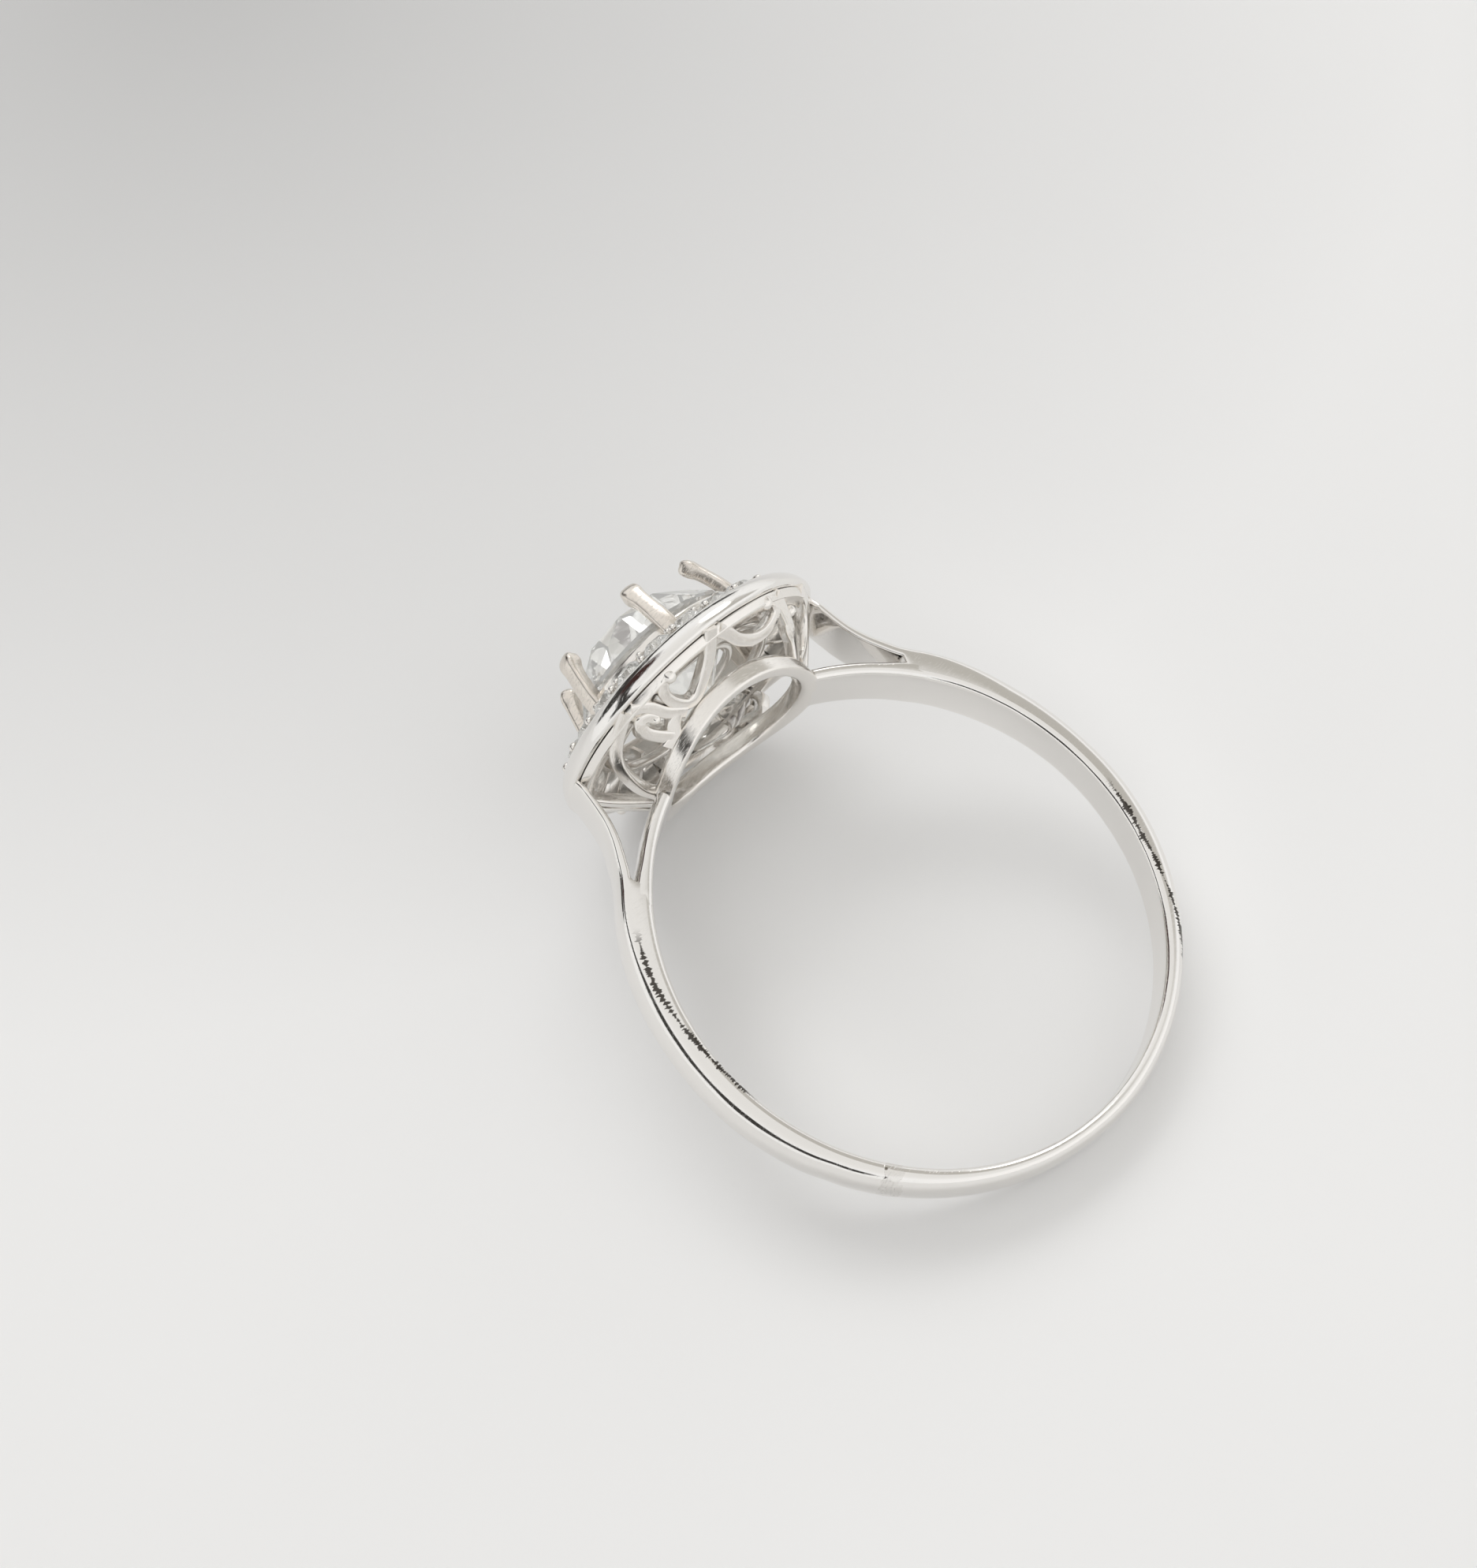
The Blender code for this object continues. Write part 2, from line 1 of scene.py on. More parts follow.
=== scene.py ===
"""Halo engagement ring on its side: polished band, forked shoulders, pierced gallery, small and centre stones.

Shapes are drawn upright in millimetres, X across the head, Y along the finger and Z
towards the centre stone, with the finger hole's centre as origin, then laid down.
"""
import json
import math

import bmesh
import bpy
from mathutils import Matrix, Vector, noise


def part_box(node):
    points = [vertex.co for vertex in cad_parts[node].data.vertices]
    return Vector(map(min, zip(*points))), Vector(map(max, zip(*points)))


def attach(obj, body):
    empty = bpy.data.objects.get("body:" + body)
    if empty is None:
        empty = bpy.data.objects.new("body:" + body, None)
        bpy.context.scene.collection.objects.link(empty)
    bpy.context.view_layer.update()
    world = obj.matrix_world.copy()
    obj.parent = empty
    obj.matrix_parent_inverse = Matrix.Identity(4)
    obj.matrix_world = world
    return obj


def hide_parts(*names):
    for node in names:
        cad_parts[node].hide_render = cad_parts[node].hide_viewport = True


bl_info = {
    "name": "Halo Engagement Ring",
    "version": (1, 0, 0),
    "blender": (4, 5, 0),
    "location": "3D View > Sidebar > Ring",
    "description": "Builds a halo ring with a scroll gallery around its solid model",
    "category": "Add Mesh",
}

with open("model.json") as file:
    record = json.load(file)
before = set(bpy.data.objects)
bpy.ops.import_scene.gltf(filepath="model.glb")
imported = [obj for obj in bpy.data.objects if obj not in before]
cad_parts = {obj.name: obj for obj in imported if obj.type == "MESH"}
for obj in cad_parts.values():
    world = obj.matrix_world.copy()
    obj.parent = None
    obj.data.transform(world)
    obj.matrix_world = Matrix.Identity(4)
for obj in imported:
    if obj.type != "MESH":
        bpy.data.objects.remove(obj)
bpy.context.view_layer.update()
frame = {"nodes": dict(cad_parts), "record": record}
MM = 0.001
TAU = math.tau
RAIL_DROP = 0.16  # the middle of the gallery's top rail lies this far under the halo, in millimetres
# Degrees between two faces from which their edge stays sharp.
SHARP_CAST = 40.0
SHARP_CLAW = 50.0
SHARP_POLISHED = 60.0
SHARP_FACETS = 1.0


def solid_middle(node):
    low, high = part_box(node)
    return (Vector(low) + Vector(high)) / 2


def solids_named(start, end=""):
    """The solid model's pieces whose names start and end so."""
    names = sorted(name for name in frame["nodes"] if name.startswith(start) and name.endswith(end))
    if not names:
        raise RuntimeError(f"the solid model has no {start} pieces")
    return names


# Settings.


class RingSizes(bpy.types.PropertyGroup):
    finger_width: bpy.props.FloatProperty(
        name="Finger width", description="Width of the finger hole", default=0.0168, unit="LENGTH")
    finger_height: bpy.props.FloatProperty(
        name="Finger height", description="Height of the finger hole, towards the stone", default=0.01796,
        unit="LENGTH")
    band_width: bpy.props.FloatProperty(
        name="Band width", description="Width of the band along the finger", default=0.0019, unit="LENGTH")
    fork_width: bpy.props.FloatProperty(
        name="Fork width", description="Width of the band where the shoulders fork", default=0.00225, unit="LENGTH")
    bottom_thickness: bpy.props.FloatProperty(
        name="Bottom thickness", description="Thickness of the band at the bottom", default=0.00062, unit="LENGTH")
    side_thickness: bpy.props.FloatProperty(
        name="Side thickness", description="Thickness of the band at the sides", default=0.001, unit="LENGTH")
    fork_thickness: bpy.props.FloatProperty(
        name="Fork thickness", description="Thickness of the band at the forks", default=0.00124, unit="LENGTH")
    halo_radius: bpy.props.FloatProperty(
        name="Halo radius", description="Outer radius of the halo's rim", default=0.0057, unit="LENGTH")
    halo_height: bpy.props.FloatProperty(
        name="Halo height", description="Height of the halo's underside over the finger hole's centre",
        default=0.0107, unit="LENGTH")
    halo_count: bpy.props.IntProperty(
        name="Halo stones", description="Stones in the halo's row", default=22, min=8, max=40)
    halo_stone: bpy.props.FloatProperty(
        name="Halo stone", description="Diameter of a small stone", default=0.00116, unit="LENGTH")
    stone_diameter: bpy.props.FloatProperty(
        name="Centre stone", description="Diameter of the centre stone", default=0.0066, unit="LENGTH")
    girdle_height: bpy.props.FloatProperty(
        name="Girdle height", description="Height of the centre stone's girdle", default=0.01274, unit="LENGTH")
    claw_width: bpy.props.FloatProperty(
        name="Claw width", description="Width of a claw round the stone", default=0.0008, unit="LENGTH")
    strap_width: bpy.props.FloatProperty(
        name="Strap width", description="Width of the gallery's straps", default=0.0005, unit="LENGTH")


class RingFinish(bpy.types.PropertyGroup):
    plate: bpy.props.FloatVectorProperty(
        name="Plate", description="Colour of the bright plate", subtype="COLOR", size=3, default=(0.90, 0.882, 0.857))
    bare: bpy.props.FloatVectorProperty(
        name="Bare gold", description="Colour of the claws' bare gold", subtype="COLOR", size=3,
        default=(0.84, 0.785, 0.72))
    solder: bpy.props.FloatVectorProperty(
        name="Solder", description="Colour of the sizing seam", subtype="COLOR", size=3, default=(0.84, 0.82, 0.79))
    stone: bpy.props.FloatVectorProperty(
        name="Stone", description="Tint of the stones", subtype="COLOR", size=3, default=(0.99, 0.988, 0.96))
    floor: bpy.props.FloatVectorProperty(
        name="Floor", description="Colour of the floor", subtype="COLOR", size=3, default=(0.88, 0.88, 0.878))


def sizes():
    return bpy.context.scene.ring_sizes


def finish():
    return bpy.context.scene.ring_finish


def millimetres(name):
    """One of the sizes, in the upright drawing's unit."""
    return getattr(sizes(), name) / MM


# From the upright drawing to the resting ring.


def resting_pose():
    """The turn and shift that lay the upright ring down, read from the solid model's side mount and top rail."""
    across = Vector(frame["record"]["mounts"][0]["axis"])
    lean = math.atan2(across.y, -across.z)
    turn = Matrix.Rotation(lean - math.pi / 2, 4, "X")
    rail = turn.to_3x3() @ Vector((0, 0, sizes().halo_height - RAIL_DROP * MM))
    return Matrix.Translation(solid_middle("gallery_top_rail") - rail) @ turn


def laid_down(points):
    """Upright millimetres to places in the frame."""
    pose = resting_pose()
    return [pose @ (Vector(point) * MM) for point in points]


# Meshes.


def new_piece(name, bm, material, nodes, angle=SHARP_CAST):
    """Lay a drawn mesh down and make it a finished piece that stands for these solids."""
    bmesh.ops.recalc_face_normals(bm, faces=bm.faces)
    if bm.calc_volume(signed=True) < 0:
        bmesh.ops.reverse_faces(bm, faces=bm.faces)
    pose = resting_pose() @ Matrix.Scale(MM, 4)
    bmesh.ops.transform(bm, matrix=pose, verts=bm.verts)
    mesh = bpy.data.meshes.new(name)
    bm.to_mesh(mesh)
    bm.free()
    return keep_piece(name, mesh, material, nodes, angle)


def keep_piece(name, mesh, material, nodes, angle=SHARP_CAST):
    """Dress a mesh that already lies in place, and hide the solids that it stands for."""
    mesh.materials.clear()
    mesh.materials.append(material)
    mesh.shade_smooth()
    mesh.set_sharp_from_angle(angle=math.radians(angle))
    piece = bpy.data.objects.new(name, mesh)
    bpy.context.scene.collection.objects.link(piece)
    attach(piece, "root")
    if nodes:
        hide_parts(*nodes)
    return piece


def loft(bm, rings, closed=False):
    """Skin equal rings of points, closed on itself or capped at both ends."""
    made = [[bm.verts.new(point) for point in ring] for ring in rings]
    count = len(made[0])
    pairs = list(zip(made, made[1:]))
    if closed:
        pairs.append((made[-1], made[0]))
    for first, second in pairs:
        for i in range(count):
            j = (i + 1) % count
            bm.faces.new((first[i], first[j], second[j], second[i]))
    if not closed:
        bm.faces.new(reversed(made[0]))
        bm.faces.new(made[-1])
    return made


def revolve(bm, profile, segments=144):
    """Turn a closed (radius, height) outline round the head's axis."""
    rings = []
    for k in range(segments):
        turn = TAU * k / segments
        rings.append([Vector((r * math.cos(turn), r * math.sin(turn), z)) for r, z in profile])
    return loft(bm, rings, closed=True)


def rounded(corners, radii, steps=5):
    """A closed outline with each corner turned by its own radius."""
    points = []
    count = len(corners)
    for i in range(count):
        here = Vector(corners[i])
        before = Vector(corners[i - 1]) - here
        after = Vector(corners[(i + 1) % count]) - here
        reach = min(radii[i], before.length * 0.49, after.length * 0.49)
        start = here + before.normalized() * reach
        end = here + after.normalized() * reach
        for k in range(steps + 1):
            t = k / steps
            points.append(tuple(start * (1 - t) ** 2 + here * 2 * t * (1 - t) + end * t * t))
    return points


def spline(points, steps=8):
    """A smooth run through the points, any number of values each."""
    rows = [Vector(point) for point in points]
    rows = [rows[0] * 2 - rows[1]] + rows + [rows[-1] * 2 - rows[-2]]
    run = []
    for i in range(1, len(rows) - 2):
        a, b, c, d = rows[i - 1:i + 3]
        for k in range(steps):
            t = k / steps
            run.append(0.5 * ((2 * b) + (c - a) * t + (2 * a - 5 * b + 4 * c - d) * t * t
                              + (3 * b - a - 3 * c + d) * t**3))
    run.append(rows[-2])
    return run


def smooth(value):
    """Ease from 0 to 1, level at both ends."""
    value = min(1.0, max(0.0, value))
    return value * value * (3 - 2 * value)


def hand_finish(point, amount, reach=1.4):
    """A slight unevenness, as a polishing wheel leaves it."""
    return amount * noise.noise(Vector(point) * reach)


# Finger hole.


FORK_ANGLE = math.radians(45)  # where the shoulders fork, from the middle of the right side
SEAM_ANGLE = math.radians(-138)


def hole_halves():
    return millimetres("finger_width") / 2, millimetres("finger_height") / 2


def hole_point(angle):
    half_width, half_height = hole_halves()
    radius = 1 / math.hypot(math.cos(angle) / half_width, math.sin(angle) / half_height)
    return Vector((radius * math.cos(angle), 0, radius * math.sin(angle)))


def hole_normal(angle):
    point = hole_point(angle)
    half_width, half_height = hole_halves()
    return Vector((point.x / half_width**2, 0, point.z / half_height**2)).normalized()


def hole_height(x):
    half_width, half_height = hole_halves()
    return half_height * math.sqrt(max(0.0, 1 - (x / half_width) ** 2))


def from_side(angle):
    """The angle above or below the middle of the nearer side."""
    if math.cos(angle) < 0:
        angle = math.pi - angle
    return math.atan2(math.sin(angle), math.cos(angle))


BOTTOM_EASE = math.radians(80)  # the band thins towards the bottom over this angle
HAND_WOBBLE = 0.006


def band_thickness(angle):
    angle = from_side(angle)
    side = millimetres("side_thickness")
    if angle < 0:
        bottom = millimetres("bottom_thickness")
        return bottom + (side - bottom) * smooth(1 + angle / BOTTOM_EASE)
    return side + (millimetres("fork_thickness") - side) * smooth(angle / FORK_ANGLE)


def band_width(angle):
    narrow = millimetres("band_width")
    return narrow + (millimetres("fork_width") - narrow) * smooth(from_side(angle) / FORK_ANGLE)


def band_section(width, thickness, power=2.4, ease=0.26, crown=9.0):
    """(outwards, along the finger) points: flat inside with eased edges, and outside a curve as tall as the crown."""
    half = width / 2
    ease = min(ease, thickness * 0.4)
    side = [(0.0, (half - ease) * 0.5)]
    corner_steps = 8
    for k in range(corner_steps):
        turn = math.pi / 2 * k / corner_steps
        side.append((ease * (1 - math.cos(turn)), half - ease * (1 - math.sin(turn))))
    side.append((ease, half))
    crown = min(crown, thickness - ease - 0.01)
    dome_steps = 34
    dome = []
    for i in range(dome_steps + 1):
        turn = math.pi * i / dome_steps
        across = math.copysign(abs(math.cos(turn)) ** (2 / power), math.cos(turn)) * half
        dome.append((thickness - crown + crown * math.sin(turn) ** (2 / power), across))
    return [(0.0, 0.0)] + side + dome + [(u, -y) for u, y in reversed(side)]


def section_at(angle, section):
    """The section set up on the finger hole's edge, a little uneven, and less so on its outside."""
    origin = hole_point(angle)
    outwards = hole_normal(angle)
    ring = []
    for u, y in section:
        point = origin + outwards * u + Vector((0, y, 0))
        lift = hand_finish(point, HAND_WOBBLE)
        ring.append(point + outwards * lift * (0.4 if u > 0.1 else 1.0))
    return ring


# Finishes.


def add_node(tree, kind, place=None, **values):
    """A node with its plain properties and its inputs set by name."""
    node = tree.nodes.new(kind)
    for key, value in values.items():
        if hasattr(node, key):
            setattr(node, key, value)
    for key, value in (place or {}).items():
        socket = node.inputs[key]
        if hasattr(value, "is_output"):
            tree.links.new(value, socket)
        else:
            socket.default_value = value
    return node


def worked_out(tree, operation, a, b=0.0):
    """The result of a math node on two values or sockets."""
    return add_node(tree, "ShaderNodeMath", {0: a, 1: b}, operation=operation).outputs[0]


def ranged(tree, value, low, high, to_low=0.0, to_high=1.0):
    """A value moved from one range to another and kept inside it."""
    return add_node(tree, "ShaderNodeMapRange", {0: value, 1: low, 2: high, 3: to_low, 4: to_high}).outputs[0]


def cloud(tree, place, scale, detail, rough=0.5):
    """A noise texture's value."""
    inputs = {"Vector": place, "Scale": scale, "Detail": detail, "Roughness": rough}
    return add_node(tree, "ShaderNodeTexNoise", inputs).outputs[0]


def mixed(tree, mask, below, above):
    """One colour over another by a mask, each a colour or a socket."""
    return add_node(tree, "ShaderNodeMix", {0: mask, 6: below, 7: above}, data_type="RGBA").outputs[2]


def toned(color, by):
    """A lighter or darker version of a colour, with its alpha."""
    return (*[min(1.0, c * by) for c in color], 1.0)


def polish_group():
    """Unevenness of a hand-polished metal: slow waves, fine scratches and a faint haze."""
    name = "hand_polish"
    if name in bpy.data.node_groups:
        return bpy.data.node_groups[name]
    tree = bpy.data.node_groups.new(name, "ShaderNodeTree")
    face = tree.interface
    for label, value in (("Wave", 0.5), ("Scratch", 0.3)):
        face.new_socket(label, in_out="INPUT", socket_type="NodeSocketFloat").default_value = value
    for label in ("Height", "Haze", "Tone"):
        face.new_socket(label, in_out="OUTPUT", socket_type="NodeSocketFloat")
    given = add_node(tree, "NodeGroupInput").outputs
    place = add_node(tree, "ShaderNodeTexCoord").outputs["Object"]
    wave = cloud(tree, place, 520.0, 2.0)
    ripple = cloud(tree, place, 2600.0, 3.0)
    stretch = add_node(tree, "ShaderNodeMapping", {
        "Vector": place, "Rotation": (0.3, 0.5, 0.7), "Scale": (1.0, 9.0, 1.6)}).outputs[0]
    scratch = ranged(tree, cloud(tree, stretch, 3800.0, 4.0), 0.58, 0.72)
    haze = ranged(tree, cloud(tree, place, 900.0, 5.0, 0.6), 0.35, 0.75)
    tone = cloud(tree, place, 300.0, 2.0)
    waves = worked_out(tree, "MULTIPLY", wave, given["Wave"])
    scratches = worked_out(tree, "MULTIPLY", scratch, given["Scratch"])
    height = worked_out(tree, "ADD", waves, scratches)
    height = worked_out(tree, "ADD", height, worked_out(tree, "MULTIPLY", ripple, 0.06))
    add_node(tree, "NodeGroupOutput", {"Height": height, "Haze": haze, "Tone": tone})
    return tree


def reflection_line_group():
    """A painted dark reflection line, with short teeth across it, from the marks kept on the mesh."""
    name = "file_line"
    if name in bpy.data.node_groups:
        return bpy.data.node_groups[name]
    tree = bpy.data.node_groups.new(name, "ShaderNodeTree")
    tree.interface.new_socket("Mask", in_out="OUTPUT", socket_type="NodeSocketFloat")
    marks = add_node(tree, "ShaderNodeAttribute", attribute_name="marks").outputs["Vector"]
    parts = add_node(tree, "ShaderNodeSeparateXYZ", {0: marks}).outputs

    def along_line(stretch):
        place = add_node(tree, "ShaderNodeVectorMath", {0: marks, 1: stretch}, operation="MULTIPLY").outputs[0]
        return cloud(tree, place, 1.0, 2.0)

    teeth = along_line((14.0, 0.25, 0.0))
    swell = along_line((1.1, 0.0, 0.0))
    reach = ranged(tree, worked_out(tree, "MULTIPLY", teeth, swell), 0.17, 0.42, 0.05, 2.2)
    inside = worked_out(tree, "SUBTRACT", reach, worked_out(tree, "ABSOLUTE", parts["Y"]))
    mask = worked_out(tree, "MULTIPLY", ranged(tree, inside, -0.08, 0.25), parts["Z"])
    add_node(tree, "NodeGroupOutput", {"Mask": mask})
    return tree


def new_material(name):
    material = bpy.data.materials.new(name)
    material.use_nodes = True
    return material, material.node_tree, material.node_tree.nodes["Principled BSDF"]


# The pit is not modelled: this painted shade colour stands for its hollow.
PIT_SHADE_COLOR = (0.22, 0.20, 0.17, 1.0)
# Colour of the painted dark reflection lines on the band.
REFLECTION_LINE_COLOR = (0.09, 0.083, 0.075, 1.0)
PIT_RADIUS = 0.00007
DIAMOND_IOR = 2.417


def metal(name, color, rough, wave, scratch, depth=0.000012, reflection_lines=False, spread=0.05, pit=None):
    """A polished metal whose gloss and surface vary by hand polishing, with painted dark reflection lines or the
    painted shade of one pit if wanted.
    """
    if name in bpy.data.materials:
        return bpy.data.materials[name]
    material, tree, shader = new_material(name)
    shader.inputs["Metallic"].default_value = 1.0
    shader.inputs["IOR"].default_value = 1.5
    polish = add_node(tree, "ShaderNodeGroup", {"Wave": wave, "Scratch": scratch}, node_tree=polish_group()).outputs
    bump = add_node(tree, "ShaderNodeBump", {"Strength": 1.0, "Distance": depth, "Height": polish["Height"]})
    tree.links.new(bump.outputs[0], shader.inputs["Normal"])
    tree.links.new(ranged(tree, polish["Haze"], 0.0, 1.0, rough, rough + spread), shader.inputs["Roughness"])
    shown = mixed(tree, polish["Tone"], toned(color, 0.955), toned(color, 1.02))
    # Painted shade of a small pit: a ragged dark spot round one point.
    if pit:
        coords = add_node(tree, "ShaderNodeTexCoord").outputs["Object"]
        torn = cloud(tree, coords, 5000.0, 2.0)
        away = add_node(tree, "ShaderNodeVectorMath", {0: coords, 1: tuple(pit)}, operation="DISTANCE")
        uneven = worked_out(tree, "MULTIPLY", torn, 1.6 * PIT_RADIUS)
        reach = worked_out(tree, "ADD", away.outputs["Value"], uneven)
        shown = mixed(tree, ranged(tree, reach, PIT_RADIUS * 1.7, PIT_RADIUS * 1.3), shown, PIT_SHADE_COLOR)
    # Paint the dark reflection lines into the base colour.
    if reflection_lines:
        mark = add_node(tree, "ShaderNodeGroup", node_tree=reflection_line_group())
        shown = mixed(tree, mark.outputs["Mask"], shown, REFLECTION_LINE_COLOR)
    tree.links.new(shown, shader.inputs["Base Color"])
    return material


def plate_metal():
    return metal("bright_plate", finish().plate, 0.05, 0.45, 0.08, reflection_lines=True)


def gallery_metal():
    warmer = [c * t for c, t in zip(finish().plate, (1.01, 1.0, 0.985))]
    return metal("cast_gallery", warmer, 0.15, 0.8, 0.2, depth=0.000014, spread=0.10)


def bare_metal():
    return metal("bare_gold", finish().bare, 0.2, 1.0, 0.4, depth=0.000014, spread=0.10)


def solder_metal():
    """Duller than the plate, with one pit near the joint's edge, drawn only as a ragged spot of painted shade."""
    angle = SEAM_ANGLE - math.radians(1.9)
    spot = hole_point(angle) + hole_normal(angle) * 0.27 - Vector((0, millimetres("band_width") / 2, 0))
    pit = laid_down([spot])[0]
    return metal("solder_line", finish().solder, 0.09, 1.2, 0.5, depth=0.00002, spread=0.12, pit=pit)


def stone_glass(name, tint):
    """Clear stone with a faint cloudiness and a faint painted glow in its tint."""
    if name in bpy.data.materials:
        return bpy.data.materials[name]
    material, tree, shader = new_material(name)
    shader.inputs["Transmission Weight"].default_value = 0.86
    # A faint painted glow, which brightens the stone.
    shader.inputs["Emission Color"].default_value = (*tint, 1.0)
    shader.inputs["Emission Strength"].default_value = 0.03
    shader.inputs["IOR"].default_value = DIAMOND_IOR
    shader.inputs["Metallic"].default_value = 0.0
    clouded = cloud(tree, add_node(tree, "ShaderNodeTexCoord").outputs["Object"], 700.0, 2.0)
    tree.links.new(mixed(tree, clouded, toned(tint, 1.0), toned(tint, 0.985)), shader.inputs["Base Color"])
    tree.links.new(ranged(tree, clouded, 0.6, 0.8, 0.0, 0.02), shader.inputs["Roughness"])
    return material


# Band.


# The painted dark reflection lines on the near side: (degrees round the band, share of the thickness) points, and their
# width.
PAINTED_REFLECTION_LINES = (
    (((-6, 0.27), (-14, 0.24), (-21, 0.22), (-32, 0.36), (-40, 0.58), (-47, 0.80), (-54, 1.0)), 0.085),
    (((-170, 0.04), (-176, 0.08), (-183, 0.16), (-191, 0.28), (-198, 0.42), (-205, 0.52), (-211, 0.55), (-217, 0.55)),
     0.09),
)
FAR_FROM_LINES = 9.0
LINE_FADE = 5.0  # degrees over which a line fades at its ends
FORK_CROWN = 0.42
BAND_STEPS = 760
# Worn flatter here: angle, reach along the band, and share of the depth.
FLAT_SPOTS = ((-1.67, 0.13, 1.0), (-2.62, 0.05, 0.7))
FLAT_DEPTH = 0.035


def reflection_line_marks(angle, thickness, section):
    """For each point of the section: arc length, distance from the nearest line, and how clear the line is."""
    degrees = math.degrees(angle)
    arc = angle * millimetres("finger_width") / 2
    best = None
    for line, width in PAINTED_REFLECTION_LINES:
        for (a, low), (b, high) in zip(line, line[1:]):
            if b <= degrees <= a:
                target = low + (high - low) * (degrees - a) / (b - a)
                ends = smooth((line[0][0] - degrees) / LINE_FADE) * smooth((degrees - line[-1][0]) / LINE_FADE)
                best = (target * thickness, width, ends)
    if best is None:
        return [(arc, FAR_FROM_LINES, 0.0)] * len(section)
    target, width, ends = best
    row = []
    for u, y in section:
        gate = smooth((-y - 0.3) / 0.2) * ends
        row.append((arc, (u - target) / width, gate))
    return row


def section_round(angle):
    """The band's section at this angle: all curve below, a low curve over flat sides at the forks."""
    near_fork = smooth(from_side(angle) / FORK_ANGLE * 1.15 - 0.15)
    thickness = band_thickness(angle)
    crown = thickness * (1 - near_fork) + FORK_CROWN * near_fork
    power = 2.25 + 0.25 * smooth(1 + from_side(angle) / 1.2)
    return {"power": power, "crown": crown}


def branch_rings(side):
    """The outer branch from the fork up to the halo's rim, as rings of the band's own section."""
    run = spline(branch_crest(), 12)
    rings = []
    length = 0.0
    for i, here in enumerate(run):
        share = i / (len(run) - 1)
        if i:
            length += (here - run[i - 1]).length
        along = (run[min(i + 1, len(run) - 1)] - run[max(i - 1, 0)]).normalized()
        outwards = Vector((along.y, -along.x))
        width = millimetres("fork_width") + 0.1 * smooth(share) - 0.5 * smooth((share - 0.8) * 5)
        split = smooth(length / 0.42)
        thick = millimetres("fork_thickness") * (1 - split) + branch_thickness(share) * split
        section = band_section(width, thick, 2.5, 0.26 - 0.16 * split, FORK_CROWN)
        ring = []
        for u, y in section:
            flat = here + outwards * (u - thick)
            point = Vector((side * flat.x, y, flat.y))
            ring.append(point + Vector((0, 0, hand_finish(point, HAND_WOBBLE))))
        rings.append(ring)
    return rings


def make_band():
    """The band and both outer branches in one piece, so that the polish runs through the forks."""
    start = FORK_ANGLE
    end = -math.pi - FORK_ANGLE
    bm = bmesh.new()
    layer = bm.verts.layers.float_vector.new("marks")
    rings = list(reversed(branch_rings(1)))
    blank = [(0.0, FAR_FROM_LINES, 0.0)] * len(rings[0])
    marks = [blank] * len(rings)
    for i in range(1, BAND_STEPS):
        angle = start + (end - start) * i / BAND_STEPS
        flattened = sum(depth * math.exp(-((angle - middle) / reach) ** 2) for middle, reach, depth in FLAT_SPOTS)
        thickness = band_thickness(angle) - FLAT_DEPTH * flattened
        section = band_section(band_width(angle), thickness, **section_round(angle))
        rings.append(section_at(angle, section))
        marks.append(reflection_line_marks(angle, thickness, section))
    rings += branch_rings(-1)
    marks += [blank] * (len(rings) - len(marks))
    made = loft(bm, rings)
    for ring, row in zip(made, marks):
        for vertex, value in zip(ring, row):
            vertex[layer] = value
    nodes = ["shank_right", "shank_left", "shoulder_outer_right", "shoulder_outer_left"]
    return new_piece("polished_band", bm, plate_metal(), nodes, SHARP_POLISHED)


def make_seam():
    """The sizing joint: a duller, ragged strip flush with the band."""
    bm = bmesh.new()
    rings = []
    steps = 40
    length = 0.085
    for i in range(steps + 1):
        share = i / steps
        angle = SEAM_ANGLE + (share - 0.5) * length
        lip = 0.006 - 0.03 * (1 - smooth(share * 9)) - 0.03 * (1 - smooth((1 - share) * 9))
        shape = section_round(angle)
        shape["crown"] += lip
        section = band_section(band_width(angle) + 2 * lip, band_thickness(angle) + lip, **shape)
        ring = []
        for u, y in section:
            ragged = angle + 0.018 * noise.noise(Vector((u * 4, y * 4, 3.0 * share)))
            outwards = hole_normal(ragged)
            point = hole_point(ragged) + outwards * (u - lip * 0.5) + Vector((0, y, 0))
            ring.append(point + outwards * hand_finish(point, 0.012, 5.0))
        rings.append(ring)
    loft(bm, rings)
    return new_piece("sizing_joint", bm, solder_metal(), ["sizing_seam"])


class RING_OT_band(bpy.types.Operator):
    """Make the polished band and its sizing joint"""
    bl_idname = "ring.band"
    bl_label = "Band"

    def execute(self, context):
        make_band()
        make_seam()
        return {"FINISHED"}


# Shoulders.


INNER_BRANCH_END = 3.40  # half the distance between the two inner branches' ends


def branch_crest():
    """The outer branch's outside line, from the fork to the halo's rim."""
    start = hole_point(FORK_ANGLE) + hole_normal(FORK_ANGLE) * millimetres("fork_thickness")
    radius = millimetres("halo_radius")
    top = millimetres("halo_height") + 0.35
    return [
        (start.x, start.z), (start.x - 0.32, start.z + 0.43), (radius + 0.74, start.z + 0.95),
        (radius + 0.44, start.z + 1.50), (radius + 0.21, start.z + 2.10), (radius + 0.07, start.z + 2.78),
        (radius - 0.02, top - 0.6), (radius - 0.05, top),
    ]


def branch_thickness(share):
    """The outer branch thins towards the halo."""
    return 0.54 - 0.2 * smooth(share * 1.1)


